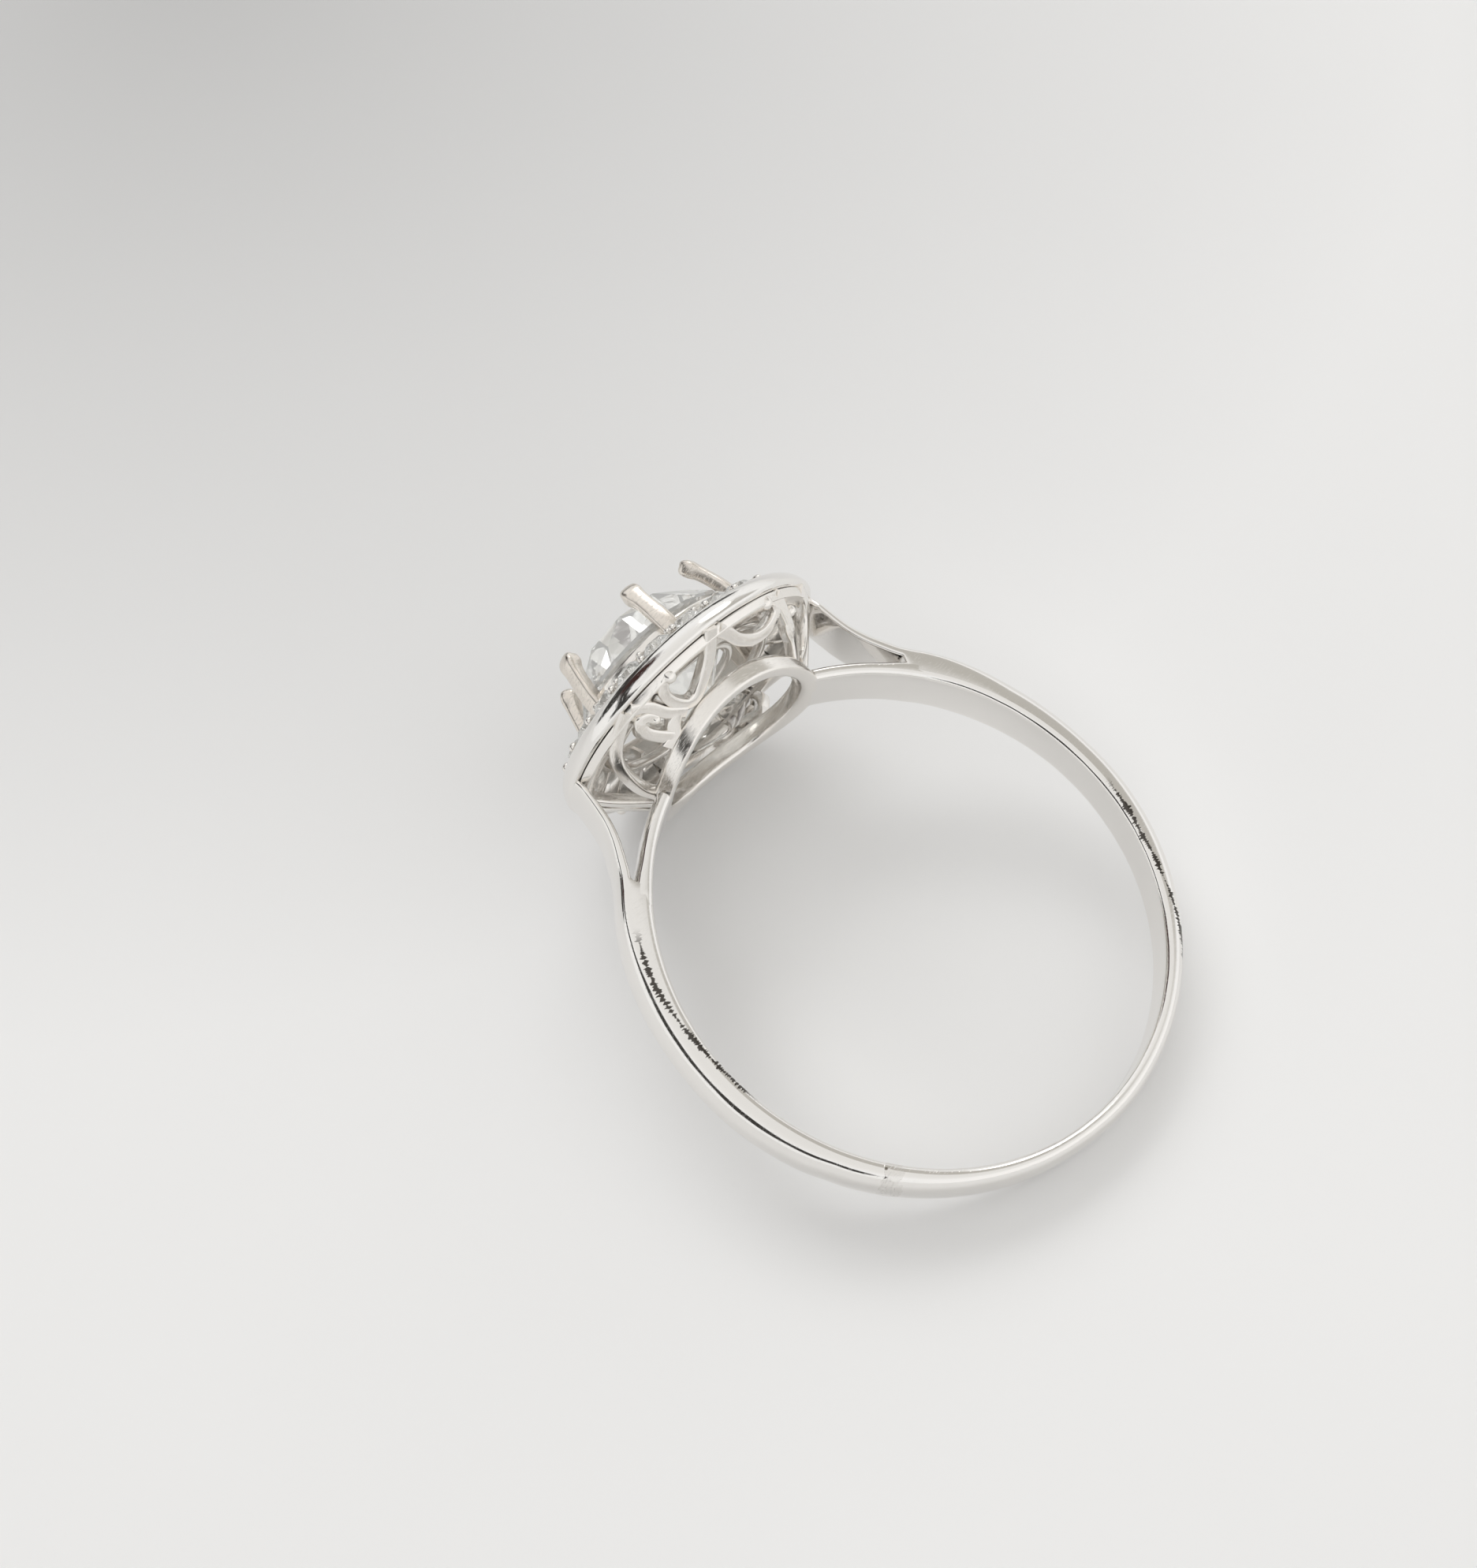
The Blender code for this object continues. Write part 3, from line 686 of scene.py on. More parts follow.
def inner_branch(bm, side):
    """From inside the fork along the finger hole's wall to the base loop."""
    end_angle = math.atan2(hole_height(INNER_BRANCH_END), INNER_BRANCH_END)
    start_angle = FORK_ANGLE - 0.06
    rings = []
    steps = 48
    for i in range(steps + 1):
        share = i / steps
        angle = start_angle + (end_angle - start_angle) * share
        buried = 0.012 * (1 - smooth((angle - start_angle) / 0.06))
        width = millimetres("fork_width") + 0.05 * share - 2 * buried
        thick = 0.74 - 0.16 * smooth(share * 2.2) - buried
        section = band_section(width, thick, 2.5, 0.2, 0.3)
        origin = hole_normal(angle) * buried
        rings.append([Vector((side * (p.x + origin.x), p.y, p.z + origin.z)) for p in section_at(angle, section)])
    loft(bm, rings)


class RING_OT_shoulders(bpy.types.Operator):
    """Make the inner branches of the forked shoulders"""
    bl_idname = "ring.shoulders"
    bl_label = "Shoulders"

    def execute(self, context):
        for side, name in ((1, "right"), (-1, "left")):
            bm = bmesh.new()
            inner_branch(bm, side)
            nodes = [f"shoulder_inner_{name}"]
            new_piece(f"inner_branch_{name}", bm, plate_metal(), nodes, SHARP_POLISHED)
        return {"FINISHED"}


# Gallery.


# The gallery's cone: its radius on the base rail and under the halo, and how far up the base rail it starts.
RAIL_LOW = 3.62
RAIL_TOP = 5.3
RAIL_RISE = 0.60
STRAP_THICKNESS = 0.4


def gallery_point(turn, share, depth=0.0):
    """On the gallery's cone: share 0 on the base rail's top, 1 under the top rail."""
    low = hole_height(RAIL_LOW * math.cos(turn)) + RAIL_RISE
    high = millimetres("halo_height") - 0.30
    radius = RAIL_LOW + (RAIL_TOP - RAIL_LOW) * share
    slope = Vector((high - low, RAIL_LOW - RAIL_TOP)).normalized()
    radius -= slope.x * depth
    z = low + (high - low) * share - slope.y * depth
    return Vector((radius * math.cos(turn), radius * math.sin(turn), z))


def strap(bm, route, taper, ball):
    """A flat strap that lies in the gallery's cone, with rounded front edges and perhaps a ball on its end."""
    run = spline(route, 7)
    count = len(run)
    rings = []
    for i, here in enumerate(run):
        share = i / (count - 1)
        turn = -math.radians(here[0])
        middle = gallery_point(turn, here[1])
        ahead = run[min(i + 1, count - 1)]
        behind = run[max(i - 1, 0)]
        along = gallery_point(-math.radians(ahead[0]), ahead[1]) - gallery_point(-math.radians(behind[0]), behind[1])
        along.normalize()
        inwards = (gallery_point(turn, here[1], 0.1) - middle).normalized()
        across = along.cross(inwards).normalized()
        half = millimetres("strap_width") / 2 * (taper[0] + (taper[1] - taper[0]) * share)
        corners = [(-half, 0.0), (half, 0.0), (half * 0.9, STRAP_THICKNESS), (-half * 0.9, STRAP_THICKNESS)]
        outline = rounded(corners, (0.10, 0.10, 0.04, 0.04), 3)
        rings.append([middle + across * a + inwards * (d + 0.012) for a, d in outline])
    loft(bm, rings)
    if ball:
        end = run[-1]
        centre = gallery_point(-math.radians(end[0]), end[1], ball * 0.55)
        made = bmesh.ops.create_uvsphere(bm, u_segments=20, v_segments=12, radius=ball)
        bmesh.ops.translate(bm, vec=centre, verts=made["verts"])


def gallery_routes():
    """Each strap: route in degrees from +X and share of the height, taper, end ball."""
    return (
        ([(87, 1.04), (83, 0.83), (78, 0.57), (70, 0.42), (62, 0.45), (56, 0.6), (53.6, 0.79), (56, 0.96), (61, 0.98)],
         (1.05, 0.85), 0.25),
        ([(90, 1.19), (91.1, 0.99), (93.1, 0.74), (96.4, 0.51), (101.9, 0.29), (109, 0.14), (114.8, 0.21),
          (117.7, 0.46), (117.8, 0.74), (115.0, 0.94), (111.5, 0.96)], (1.1, 0.8), 0.26),
        ([(131.3, 1.11), (135.7, 1.04), (141, 0.96), (146.2, 0.88), (151.2, 0.79), (157.2, 0.65), (164.1, 0.45),
          (171.4, 0.2), (174, 0.0)], (1.0, 0.9), 0.0),
        ([(129.7, 1.07), (125.4, 0.84), (123.7, 0.5), (121, 0.3), (118, 0.12)], (0.95, 0.95), 0.0),
        ([(132.8, 0.1), (135.2, 0.39), (135.4, 0.60), (132.5, 0.77), (129.2, 0.72), (128.3, 0.56)], (1.1, 0.8), 0.16),
        ([(121, 0.26), (126.2, 0.2), (132.3, 0.06), (138, 0.06)], (0.9, 1.3), 0.0),
        ([(54.8, 1.05), (50.1, 0.84), (44, 0.6), (36.6, 0.32), (31, 0.0)], (1.0, 0.95), 0.0),
        ([(36.6, 0.3), (41.5, 0.42), (44, 0.62), (41.5, 0.74)], (0.85, 0.8), 0.2),
        ([(33, 1.1), (25, 0.98), (19, 0.78), (16.5, 0.5), (19, 0.22), (24, 0.02)], (0.95, 0.95), 0.0),
        ([(4, 1.1), (7, 0.8), (8, 0.5), (6.5, 0.2), (4, -0.05)], (0.9, 0.9), 0.0),
    )


def make_base_rail():
    """The rounded loop that follows the finger under the head."""
    bm = bmesh.new()
    rings = []
    outline = rounded([(-0.30, 0.0), (0.30, 0.0), (0.30, 0.76), (-0.24, 0.76)], (0.2, 0.16, 0.26, 0.2), 7)
    steps = 200
    for k in range(steps):
        turn = TAU * k / steps
        ring = []
        for across, rise in outline:
            radius = RAIL_LOW - 0.27 + across
            x = radius * math.cos(turn)
            point = Vector((x, radius * math.sin(turn), hole_height(x) + rise))
            ring.append(point + Vector((0, 0, hand_finish(point, 0.012))))
        rings.append(ring)
    loft(bm, rings, closed=True)
    return new_piece("base_loop", bm, gallery_metal(), ["base_rail"])


def make_top_rail():
    """The round rail that the scrolls meet under the halo."""
    bm = bmesh.new()
    high = millimetres("halo_height") - 0.02
    low = high - 0.30
    profile = rounded([(RAIL_TOP - 0.45, low), (RAIL_TOP, low), (RAIL_TOP + 0.16, high), (RAIL_TOP - 0.45, high)],
                      (0.03, 0.06, 0.08, 0.03), 4)
    revolve(bm, profile)
    return new_piece("top_loop", bm, gallery_metal(), ["gallery_top_rail"])


class RING_OT_gallery(bpy.types.Operator):
    """Make the pierced scroll gallery with its two rails"""
    bl_idname = "ring.gallery"
    bl_label = "Gallery"

    def execute(self, context):
        make_base_rail()
        make_top_rail()
        for half, offset in (("front", 0), ("back", 180)):
            bm = bmesh.new()
            for route, taper, ball in gallery_routes():
                strap(bm, [(degrees + offset, share) for degrees, share in route], taper, ball)
            nodes = solids_named("scroll_", half)
            new_piece(f"gallery_scrolls_{half}", bm, gallery_metal(), nodes)
        return {"FINISHED"}


# Copies round the head.


def copies_tree():
    """Repeats a shape round the head's axis, each copy turned to face outwards."""
    name = "copies_round_the_head"
    if name in bpy.data.node_groups:
        return bpy.data.node_groups[name]
    tree = bpy.data.node_groups.new(name, "GeometryNodeTree")
    face = tree.interface
    face.new_socket("Shape", in_out="INPUT", socket_type="NodeSocketGeometry")
    face.new_socket("Count", in_out="INPUT", socket_type="NodeSocketInt").default_value = 6
    for label in ("Radius", "Height", "Lean", "First", "Unevenness"):
        face.new_socket(label, in_out="INPUT", socket_type="NodeSocketFloat")
    face.new_socket("Seed", in_out="INPUT", socket_type="NodeSocketInt").default_value = 7
    face.new_socket("Finish", in_out="INPUT", socket_type="NodeSocketMaterial")
    face.new_socket("Shape", in_out="OUTPUT", socket_type="NodeSocketGeometry")
    given = add_node(tree, "NodeGroupInput").outputs
    index = add_node(tree, "GeometryNodeInputIndex").outputs[0]

    step = worked_out(tree, "DIVIDE", TAU, given["Count"])
    angle = worked_out(tree, "ADD", worked_out(tree, "MULTIPLY", index, step), given["First"])
    place = add_node(tree, "ShaderNodeCombineXYZ", {
        0: worked_out(tree, "MULTIPLY", worked_out(tree, "COSINE", angle), given["Radius"]),
        1: worked_out(tree, "MULTIPLY", worked_out(tree, "SINE", angle), given["Radius"]),
        2: given["Height"]})
    points = add_node(tree, "GeometryNodePoints", {"Count": given["Count"], "Position": place.outputs[0]})
    least = worked_out(tree, "MULTIPLY", given["Unevenness"], -1.0)
    uneven = add_node(tree, "FunctionNodeRandomValue", data_type="FLOAT")
    tree.links.new(least, uneven.inputs[2])
    tree.links.new(given["Unevenness"], uneven.inputs[3])
    tree.links.new(given["Seed"], uneven.inputs["Seed"])
    lean = worked_out(tree, "ADD", given["Lean"], uneven.outputs[1])
    turned = add_node(tree, "ShaderNodeCombineXYZ", {0: uneven.outputs[1], 1: lean, 2: angle})
    rotation = add_node(tree, "FunctionNodeEulerToRotation", {0: turned.outputs[0]})
    copies = add_node(tree, "GeometryNodeInstanceOnPoints", {
        "Points": points.outputs[0], "Instance": given["Shape"], "Rotation": rotation.outputs[0]})
    real = add_node(tree, "GeometryNodeRealizeInstances", {0: copies.outputs[0]})
    dressed = add_node(tree, "GeometryNodeSetMaterial", {"Geometry": real.outputs[0], "Material": given["Finish"]})
    add_node(tree, "NodeGroupOutput", {0: dressed.outputs[0]})
    return tree


def copies_round(name, bm, material, nodes, count, radius=0.0, height=0.0, lean=0.0, first=0.0, uneven=0.0,
                 seed=7, angle=SHARP_CAST):
    """Turn one drawn shape into a ring of finished copies."""
    tree = copies_tree()
    mesh = bpy.data.meshes.new(name + "_one")
    bmesh.ops.recalc_face_normals(bm, faces=bm.faces)
    bm.to_mesh(mesh)
    bm.free()
    carrier = bpy.data.objects.new(name + "_one", mesh)
    bpy.context.scene.collection.objects.link(carrier)
    modifier = carrier.modifiers.new("Copies", "NODES")
    modifier.node_group = tree
    values = {"Count": count, "Radius": radius, "Height": height, "Lean": lean, "First": first,
              "Unevenness": uneven, "Seed": seed, "Finish": material}
    for item in tree.interface.items_tree:
        if item.in_out == "INPUT" and item.name in values:
            modifier[item.identifier] = values[item.name]
    seen = carrier.evaluated_get(bpy.context.evaluated_depsgraph_get())
    whole = bpy.data.meshes.new_from_object(seen)
    carrier.modifiers.clear()
    bpy.data.objects.remove(carrier)
    whole.transform(resting_pose() @ Matrix.Scale(MM, 4))
    if not whole.vertices:
        raise RuntimeError(name + " came out empty")
    whole.name = name
    return keep_piece(name, whole, material, nodes, angle)


# Halo.


HALO_INNER = 3.86  # radius of the ring inside the small stones
HALO_TOP = 1.28  # height of that ring over the halo's underside
# The rim's outer face: how its slope turns inwards, in degrees, the number of steps and their length.
RIM_TILT = (6, 40)
RIM_STEPS = 14
RIM_STEP = 0.045


def halo_plan():
    """Middle radius, middle height and lean of the stones' row."""
    base = millimetres("halo_height")
    outer = millimetres("halo_radius") - 0.42
    outer_z = base + 0.66
    inner_z = base + HALO_TOP
    return (HALO_INNER + outer) / 2, (outer_z + inner_z) / 2, math.atan2(inner_z - outer_z, outer - HALO_INNER)


def make_halo_rim():
    """The polished convex rim round the small stones."""
    base = millimetres("halo_height")
    radius = millimetres("halo_radius")
    bm = bmesh.new()
    profile = [(radius - 0.50, base + 0.04), (radius - 0.46, base), (radius - 0.14, base), (radius - 0.07, base + 0.02),
               (radius - 0.02, base + 0.07), (radius, base + 0.14)]
    for k in range(RIM_STEPS):
        tilt = math.radians(RIM_TILT[0] + RIM_TILT[1] * k / (RIM_STEPS - 1))
        r, z = profile[-1]
        profile.append((r - RIM_STEP * math.sin(tilt), z + RIM_STEP * math.cos(tilt)))
    r, z = profile[-1]
    profile += [(r - 0.05, z + 0.025), (r - 0.10, z + 0.02), (r - 0.14, z - 0.02), (r - 0.16, z - 0.10)]
    made = revolve(bm, profile, 240)
    for ring in made:
        for vertex in ring:
            out = Vector((vertex.co.x, vertex.co.y, 0)).normalized()
            vertex.co += out * hand_finish(vertex.co, 0.012, 0.6)
            vertex.co.z += hand_finish(vertex.co + Vector((9, 0, 0)), 0.014, 0.6)
    return new_piece("halo_rim", bm, plate_metal(), ["halo_frame"])


def make_halo_lattice():
    """Inner ring and the cross bars between the small stones, open underneath."""
    row, height, lean = halo_plan()
    base = millimetres("halo_height")
    bm = bmesh.new()
    inner = rounded([(HALO_INNER - 0.1, base + 0.45), (HALO_INNER + 0.12, base + 0.45),
                     (HALO_INNER + 0.10, base + HALO_TOP + 0.02), (HALO_INNER - 0.06, base + HALO_TOP + 0.04)],
                    (0.04, 0.04, 0.05, 0.06), 4)
    revolve(bm, inner, 160)
    lower = rounded([(HALO_INNER - 0.5, base + 0.05), (HALO_INNER - 0.2, base + 0.05),
                     (HALO_INNER - 0.2, base + 0.40), (HALO_INNER - 0.5, base + 0.40)], (0.1,) * 4, 4)
    revolve(bm, lower, 120)
    new_piece("halo_inner_ring", bm, gallery_metal(), [])
    bar = bmesh.new()
    half = (millimetres("halo_radius") - 0.45 - HALO_INNER) / 2 / math.cos(lean)
    outline = rounded([(-0.10, -0.75), (0.10, -0.75), (0.06, 0.07), (-0.06, 0.07)], (0.04, 0.04, 0.05, 0.05), 3)
    loft(bar, [[Vector((x, a, b)) for a, b in outline] for x in (-half, -half / 3, half / 3, half)])
    count = sizes().halo_count
    return copies_round("halo_bars", bar, gallery_metal(), [], count, row, height, lean)


def make_beads():
    """Raised grains that hold the small stones, two on every bar."""
    row, height, lean = halo_plan()
    count = sizes().halo_count
    size = millimetres("halo_stone")
    for label, shift, big in (("inner", -0.36, 0.15), ("outer", 0.38, 0.17)):
        bm = bmesh.new()
        bmesh.ops.create_icosphere(bm, subdivisions=2, radius=big)
        bmesh.ops.scale(bm, vec=(1.15, 0.9, 0.85), verts=bm.verts)
        bmesh.ops.translate(bm, vec=(shift * size, 0, 0.13), verts=bm.verts)
        copies_round(f"halo_grains_{label}", bm, gallery_metal(), [], count,
                     row, height, lean, uneven=0.12, seed=3)


class RING_OT_halo(bpy.types.Operator):
    """Make the halo's rim, lattice and grains"""
    bl_idname = "ring.halo"
    bl_label = "Halo"

    def execute(self, context):
        make_halo_rim()
        make_halo_lattice()
        make_beads()
        return {"FINISHED"}


# Stones.


def brilliant(bm, diameter, table=0.56, crown=0.15, pavilion=0.43, girdle=0.02):
    """A round brilliant with its girdle at the origin and its table towards +Z."""
    half = diameter / 2

    def level(count, radius, z, offset):
        return [bm.verts.new((radius * math.cos(TAU * (k + offset) / count),
                              radius * math.sin(TAU * (k + offset) / count), z)) for k in range(count)]

    top = girdle * diameter / 2
    crown_z = top + crown * diameter
    flat = level(8, half * table, crown_z, 0.5)
    kite = level(8, half * (table + (1 - table) * 0.50), top + crown * diameter * 0.52, 0)
    upper = level(16, half, top, 0)
    lower = level(16, half, -top, 0)
    mains = level(8, half * 0.24, -top - pavilion * diameter * 0.74, 0.5)
    culet = bm.verts.new((0, 0, -top - pavilion * diameter))
    bm.faces.new(flat)
    for k in range(8):
        j = (k + 1) % 8
        bm.faces.new((flat[k - 1], kite[k], flat[k]))
        bm.faces.new((flat[k], kite[k], upper[(2 * k + 1) % 16]))
        bm.faces.new((flat[k], upper[(2 * k + 1) % 16], kite[j]))
        bm.faces.new((kite[k], upper[2 * k], upper[2 * k + 1]))
        bm.faces.new((kite[k], upper[2 * k - 1], upper[2 * k]))
        bm.faces.new((mains[k], lower[2 * k + 1], lower[2 * k]))
        bm.faces.new((mains[k], lower[(2 * k + 2) % 16], lower[2 * k + 1]))
        bm.faces.new((culet, mains[k], lower[2 * k]))
        bm.faces.new((culet, lower[(2 * j) % 16], mains[k]))
    for k in range(16):
        j = (k + 1) % 16
        bm.faces.new((upper[k], lower[k], lower[j], upper[j]))


class RING_OT_stones(bpy.types.Operator):
    """Make the centre stone and the halo's small stones"""
    bl_idname = "ring.stones"
    bl_label = "Stones"

    def execute(self, context):
        bm = bmesh.new()
        brilliant(bm, millimetres("stone_diameter"), table=0.62, crown=0.2)
        bmesh.ops.rotate(bm, matrix=Matrix.Rotation(0.11, 3, "Z"), verts=bm.verts)
        bmesh.ops.translate(bm, vec=(0, 0, millimetres("girdle_height")), verts=bm.verts)
        glass = stone_glass("centre_stone_glass", finish().stone)
        new_piece("centre_stone", bm, glass, ["centre_diamond"], SHARP_FACETS)
        row, height, lean = halo_plan()
        bm = bmesh.new()
        brilliant(bm, millimetres("halo_stone"), crown=0.16)
        bmesh.ops.translate(bm, vec=(0, 0, 0.03), verts=bm.verts)
        small = stone_glass("small_stone_glass", finish().stone)
        nodes = solids_named("halo_diamond")
        count = sizes().halo_count
        copies_round("halo_stones", bm, small, nodes, count, row, height, lean, TAU / count / 2,
                     0.05, 11, SHARP_FACETS)
        return {"FINISHED"}


# Setting.


FIRST_CLAW = math.radians(28)


def make_seat():
    """Two wires that carry the centre stone inside the claws."""
    girdle = millimetres("girdle_height")
    half = millimetres("stone_diameter") / 2
    bm = bmesh.new()
    for radius, z, wide, tall in ((half - 0.02, girdle - 0.42, 0.34, 0.36), (half * 0.66, girdle - 1.45, 0.3, 0.3)):
        profile = rounded([(radius - wide / 2, z - tall / 2), (radius + wide / 2, z - tall / 2),
                           (radius + wide / 2, z + tall / 2), (radius - wide / 2, z + tall / 2)], (0.12,) * 4, 5)
        revolve(bm, profile, 160)
    return new_piece("seat_wires", bm, gallery_metal(), ["stone_seat"])


def make_claws():
    """Six claws that lean in over the crown and end in a rounded tip, shaped with a file."""
    width = millimetres("claw_width")
    girdle = millimetres("girdle_height")
    rim = millimetres("stone_diameter") / 2 - 0.05
    # Radius, height, thickness and share of the width.
    path = spline([(rim + 0.30, girdle - 1.7, 0.50, 0.80), (rim + 0.36, girdle - 0.9, 0.52, 0.90),
                   (rim + 0.28, girdle - 0.1, 0.54, 0.90), (rim + 0.14, girdle + 0.5, 0.52, 0.84),
                   (rim + 0.00, girdle + 0.95, 0.54, 0.84), (rim - 0.12, girdle + 1.25, 0.64, 0.98),
                   (rim - 0.22, girdle + 1.46, 0.58, 0.94), (rim - 0.28, girdle + 1.58, 0.42, 0.70),
                   (rim - 0.31, girdle + 1.63, 0.16, 0.30)], 6)
    bm = bmesh.new()
    rings = []
    for i, (r, z, thick, wide) in enumerate(path):
        ahead = path[min(i + 1, len(path) - 1)]
        behind = path[max(i - 1, 0)]
        along = Vector((ahead[0] - behind[0], ahead[1] - behind[1])).normalized()
        out = Vector((along.y, -along.x))
        half = width / 2 * wide
        corners = [(-thick * 0.5, -half * 0.8), (-thick * 0.5, half * 0.8), (thick * 0.40, half),
                   (thick * 0.5, 0), (thick * 0.40, -half)]
        outline = rounded(corners, [edge * min(thick / 0.5, wide) for edge in (0.14, 0.14, 0.17, 0.3, 0.17)], 4)
        rings.append([Vector((r + out.x * a, b, z + out.y * a)) for a, b in outline])
    loft(bm, rings)
    nodes = solids_named("claw_")
    return copies_round("claws", bm, bare_metal(), nodes, len(nodes), first=FIRST_CLAW,
                        uneven=0.012, seed=5, angle=SHARP_CLAW)


class RING_OT_setting(bpy.types.Operator):
    """Make the centre stone's seat and claws"""
    bl_idname = "ring.setting"
    bl_label = "Setting"

    def execute(self, context):
        make_seat()
        make_claws()
        return {"FINISHED"}


# Stage.


# The floor carries painted shade, darkest round one point far past the head, away from the camera: the middle, the
# (near, far) distances and the colour's share there.
SHADE_MIDDLE = (0.015, 0.062, 0.0)
SHADE_REACH = (0.004, 0.060)
SHADE_SHARE = 0.64
WINDOW_DIRECTION = (0.15, 0.72, 0.68)
WINDOW_SOFTNESS = 34.0
WINDOW_POWER = 0.62
WALL_LIGHT = 0.98
BEAM_COLOR = (0.05, 0.047, 0.044, 1.0)
LENS = 57.7
# The camera in the upright drawing: where it stands in millimetres, and its right and down.
CAMERA_PLACE = (-29.1, -74.1, -10.8)
CAMERA_RIGHT = (0.727, -0.110, -0.678)
CAMERA_DOWN = (-0.593, 0.397, -0.700)


def make_floor():
    """A pale surface with a slight random tone, and painted shade that darkens it round one point."""
    material, tree, shader = new_material("pale_floor")
    place = add_node(tree, "ShaderNodeTexCoord").outputs["Object"]
    tone = mixed(tree, cloud(tree, place, 22.0, 4.0), toned(finish().floor, 0.96), toned(finish().floor, 1.03))
    # Painted shade: the colour is scaled down towards SHADE_MIDDLE.
    away = add_node(tree, "ShaderNodeVectorMath", {0: place, 1: SHADE_MIDDLE}, operation="DISTANCE").outputs["Value"]
    shade = add_node(tree, "ShaderNodeVectorMath", {
        0: tone, "Scale": ranged(tree, away, *SHADE_REACH, SHADE_SHARE, 1.0)}, operation="SCALE")
    tree.links.new(shade.outputs[0], shader.inputs["Base Color"])
    shader.inputs["Roughness"].default_value = 0.55
    shader.inputs["Specular IOR Level"].default_value = 0.25
    bm = bmesh.new()
    bmesh.ops.create_grid(bm, x_segments=2, y_segments=2, size=0.6)
    mesh = bpy.data.meshes.new("floor")
    bm.to_mesh(mesh)
    bm.free()
    mesh.materials.append(material)
    floor = bpy.data.objects.new("floor", mesh)
    bpy.context.scene.collection.objects.link(floor)


# Round openings and panels: direction, half-width and softness in degrees, colour, strength.
SKY_PATCHES = (
    ((0.25, -1.0, 0.05), 40.0, 14.0, (1.05, 1.04, 1.03), 1.0),
    ((0.70, 0.10, 0.71), 24.0, 6.0, (0.50, 0.48, 0.44), 0.9),
    ((-0.33, 0.79, 0.52), 15.0, 4.0, (0.055, 0.028, 0.026), 1.0),
    ((0.52, 0.50, 0.69), 9.0, 4.0, (3.0, 3.0, 3.0), 1.0),
)
# Dark beams across the room: the (azimuth, elevation) degrees they run through, and half their width.
SKY_BEAMS = (
    ((52, 6), (92, 8), 5.5), ((92, 8), (128, 10), 9.0), ((126, 30), (155, 32), 6.0), ((155, 32), (178, 30), 11.0),
    ((178, 30), (-156, 28), 13.0), ((-156, 28), (-134, 24), 9.0),
)


def sky_way(azimuth, elevation):
    """The direction of a point of the sky given in degrees."""
    flat = math.cos(math.radians(elevation))
    return Vector((flat * math.cos(math.radians(azimuth)), flat * math.sin(math.radians(azimuth)),
                   math.sin(math.radians(elevation))))


def make_sky():
    """Soft studio surroundings: pale walls over a dark skirting, a grey ceiling, openings and beams."""
    world = bpy.data.worlds.new("studio")
    world.use_nodes = True
    tree = world.node_tree
    tree.nodes.clear()
    way = add_node(tree, "ShaderNodeTexCoord").outputs["Generated"]
    way = add_node(tree, "ShaderNodeVectorMath", {0: way}, operation="NORMALIZE").outputs[0]
    rise = add_node(tree, "ShaderNodeSeparateXYZ", {0: way}).outputs["Z"]
    ramp = add_node(tree, "ShaderNodeValToRGB", {0: rise})
    stops = ((0.0, (0.92, 0.92, 0.91)), (0.20, (0.98, 0.98, 0.97)), (0.60, (1.0, 1.0, 1.0)),
             (0.85, (0.90, 0.89, 0.87)), (1.0, (0.86, 0.85, 0.83)))
    band = ramp.color_ramp
    while len(band.elements) < len(stops):
        band.elements.new(0.5)
    for element, (at, color) in zip(band.elements, stops):
        element.position = at
        element.color = (*color, 1.0)
    color = ramp.outputs[0]

    def mask_between(value, none, full, strength=1.0):
        return add_node(tree, "ShaderNodeMapRange", {0: value, 1: none, 2: full, 3: 0.0, 4: strength},
                        interpolation_type="SMOOTHSTEP").outputs[0]

    def facing(direction):
        return add_node(tree, "ShaderNodeVectorMath", {0: way, 1: tuple(direction.normalized())},
                        operation="DOT_PRODUCT").outputs["Value"]

    for direction, half, soft, tint, strength in SKY_PATCHES:
        none = math.cos(math.radians(half + soft))
        full = math.cos(math.radians(max(0.0, half - soft)))
        color = mixed(tree, mask_between(facing(Vector(direction)), none, full, strength), color, (*tint, 1.0))
    for start, end, half_width in SKY_BEAMS:
        wide = math.sin(math.radians(half_width + 1.5))
        slim = math.sin(math.radians(half_width - 1.0))
        first = sky_way(*start)
        last = sky_way(*end)
        across = worked_out(tree, "ABSOLUTE", facing(first.cross(last)))
        half = first.angle(last) / 2
        along = mask_between(facing(first + last), math.cos(half + 0.08), math.cos(half))
        line = mask_between(across, wide, slim)
        color = mixed(tree, worked_out(tree, "MULTIPLY", line, along), color, BEAM_COLOR)
    back = add_node(tree, "ShaderNodeBackground", {0: color, "Strength": WALL_LIGHT})
    add_node(tree, "ShaderNodeOutputWorld", {0: back.outputs[0]})
    bpy.context.scene.world = world


def make_window():
    """One broad soft light from behind the head, which the metal doesn't mirror."""
    light = bpy.data.lights.new("window", "SUN")
    light.angle = math.radians(WINDOW_SOFTNESS)
    light.energy = WINDOW_POWER
    lamp = bpy.data.objects.new("window", light)
    lamp.rotation_euler = Vector(WINDOW_DIRECTION).to_track_quat("Z", "Y").to_euler()
    lamp.visible_glossy = False
    bpy.context.scene.collection.objects.link(lamp)


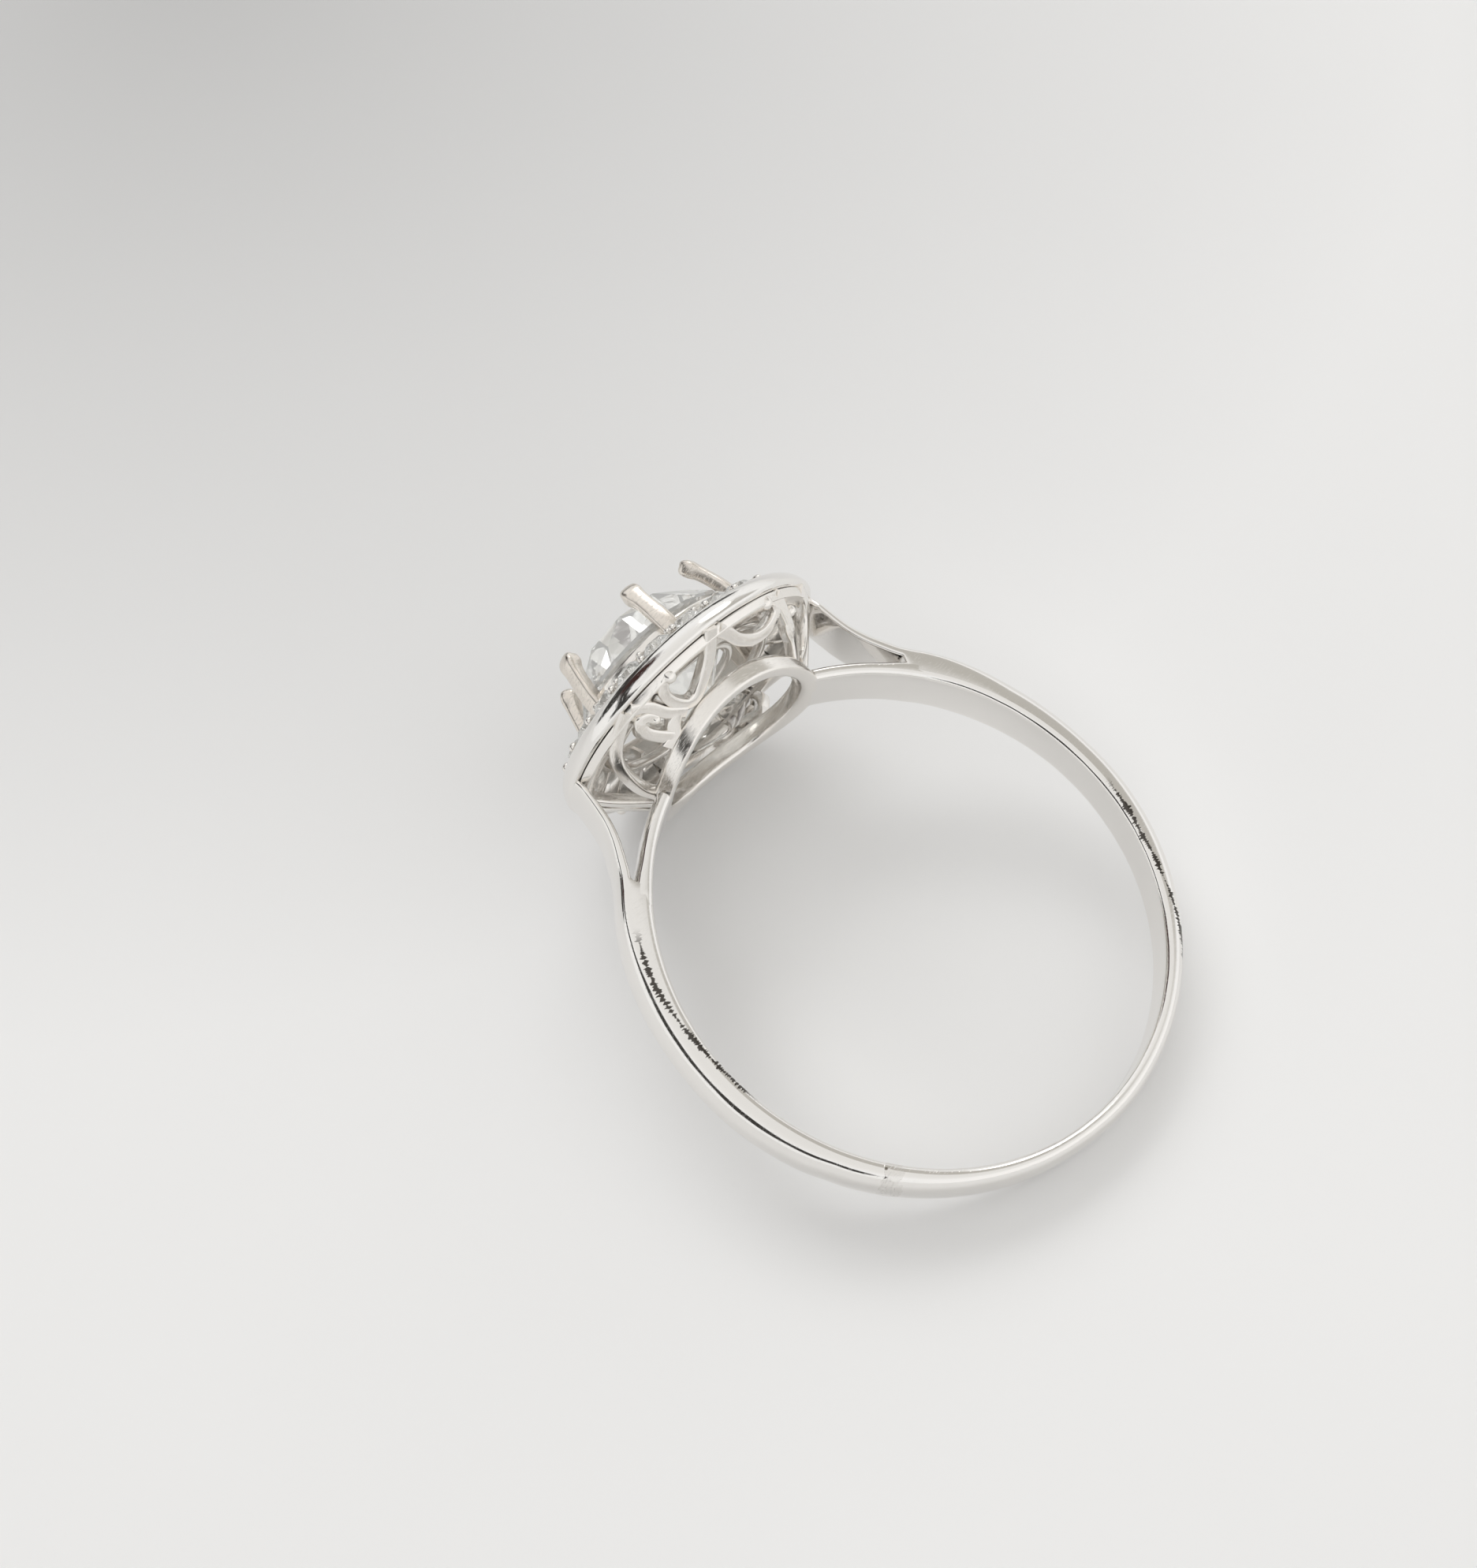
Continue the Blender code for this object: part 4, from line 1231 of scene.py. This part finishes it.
def make_camera():
    """The camera stands over the bottom of the band on the head's left and looks at the whole ring."""
    data = bpy.data.cameras.new("camera")
    data.sensor_fit = "HORIZONTAL"
    data.sensor_width = 36.0
    data.lens = LENS
    data.clip_start = 0.005
    data.clip_end = 10.0
    camera = bpy.data.objects.new("camera", data)
    right = Vector(CAMERA_RIGHT)
    forward = right.cross(Vector(CAMERA_DOWN))
    down = forward.cross(right)
    upright = Matrix((right.normalized(), -down.normalized(), -forward.normalized())).transposed().to_4x4()
    upright.translation = Vector(CAMERA_PLACE) * MM
    camera.matrix_world = resting_pose() @ upright
    bpy.context.scene.collection.objects.link(camera)
    bpy.context.scene.camera = camera


class RING_OT_stage(bpy.types.Operator):
    """Make the floor, the light and the camera"""
    bl_idname = "ring.stage"
    bl_label = "Stage"

    def execute(self, context):
        make_floor()
        make_sky()
        make_window()
        make_camera()
        bpy.context.scene.view_settings.view_transform = "Standard"
        return {"FINISHED"}


# Panel and start.


class RING_PT_panel(bpy.types.Panel):
    """Sizes, finishes and steps of the ring"""
    bl_idname = "RING_PT_panel"
    bl_label = "Halo Ring"
    bl_space_type = "VIEW_3D"
    bl_region_type = "UI"
    bl_category = "Ring"

    def draw(self, context):
        for group in (context.scene.ring_sizes, context.scene.ring_finish):
            box = self.layout.box()
            for key in group.bl_rna.properties.keys():
                if key not in ("rna_type", "name"):
                    box.prop(group, key)
        for step in STEPS:
            self.layout.operator(step.bl_idname)


STEPS = (RING_OT_stage, RING_OT_band, RING_OT_shoulders, RING_OT_gallery, RING_OT_halo, RING_OT_stones,
         RING_OT_setting)
CLASSES = (RingSizes, RingFinish) + STEPS + (RING_PT_panel,)


def register():
    for item in CLASSES:
        bpy.utils.register_class(item)
    bpy.types.Scene.ring_sizes = bpy.props.PointerProperty(type=RingSizes)
    bpy.types.Scene.ring_finish = bpy.props.PointerProperty(type=RingFinish)


def unregister():
    del bpy.types.Scene.ring_finish
    del bpy.types.Scene.ring_sizes
    for item in reversed(CLASSES):
        bpy.utils.unregister_class(item)


def main():
    register()
    bpy.ops.ring.stage()
    bpy.ops.ring.band()
    bpy.ops.ring.shoulders()
    bpy.ops.ring.gallery()
    bpy.ops.ring.halo()
    bpy.ops.ring.stones()
    bpy.ops.ring.setting()


if __name__ == "__main__":
    main()
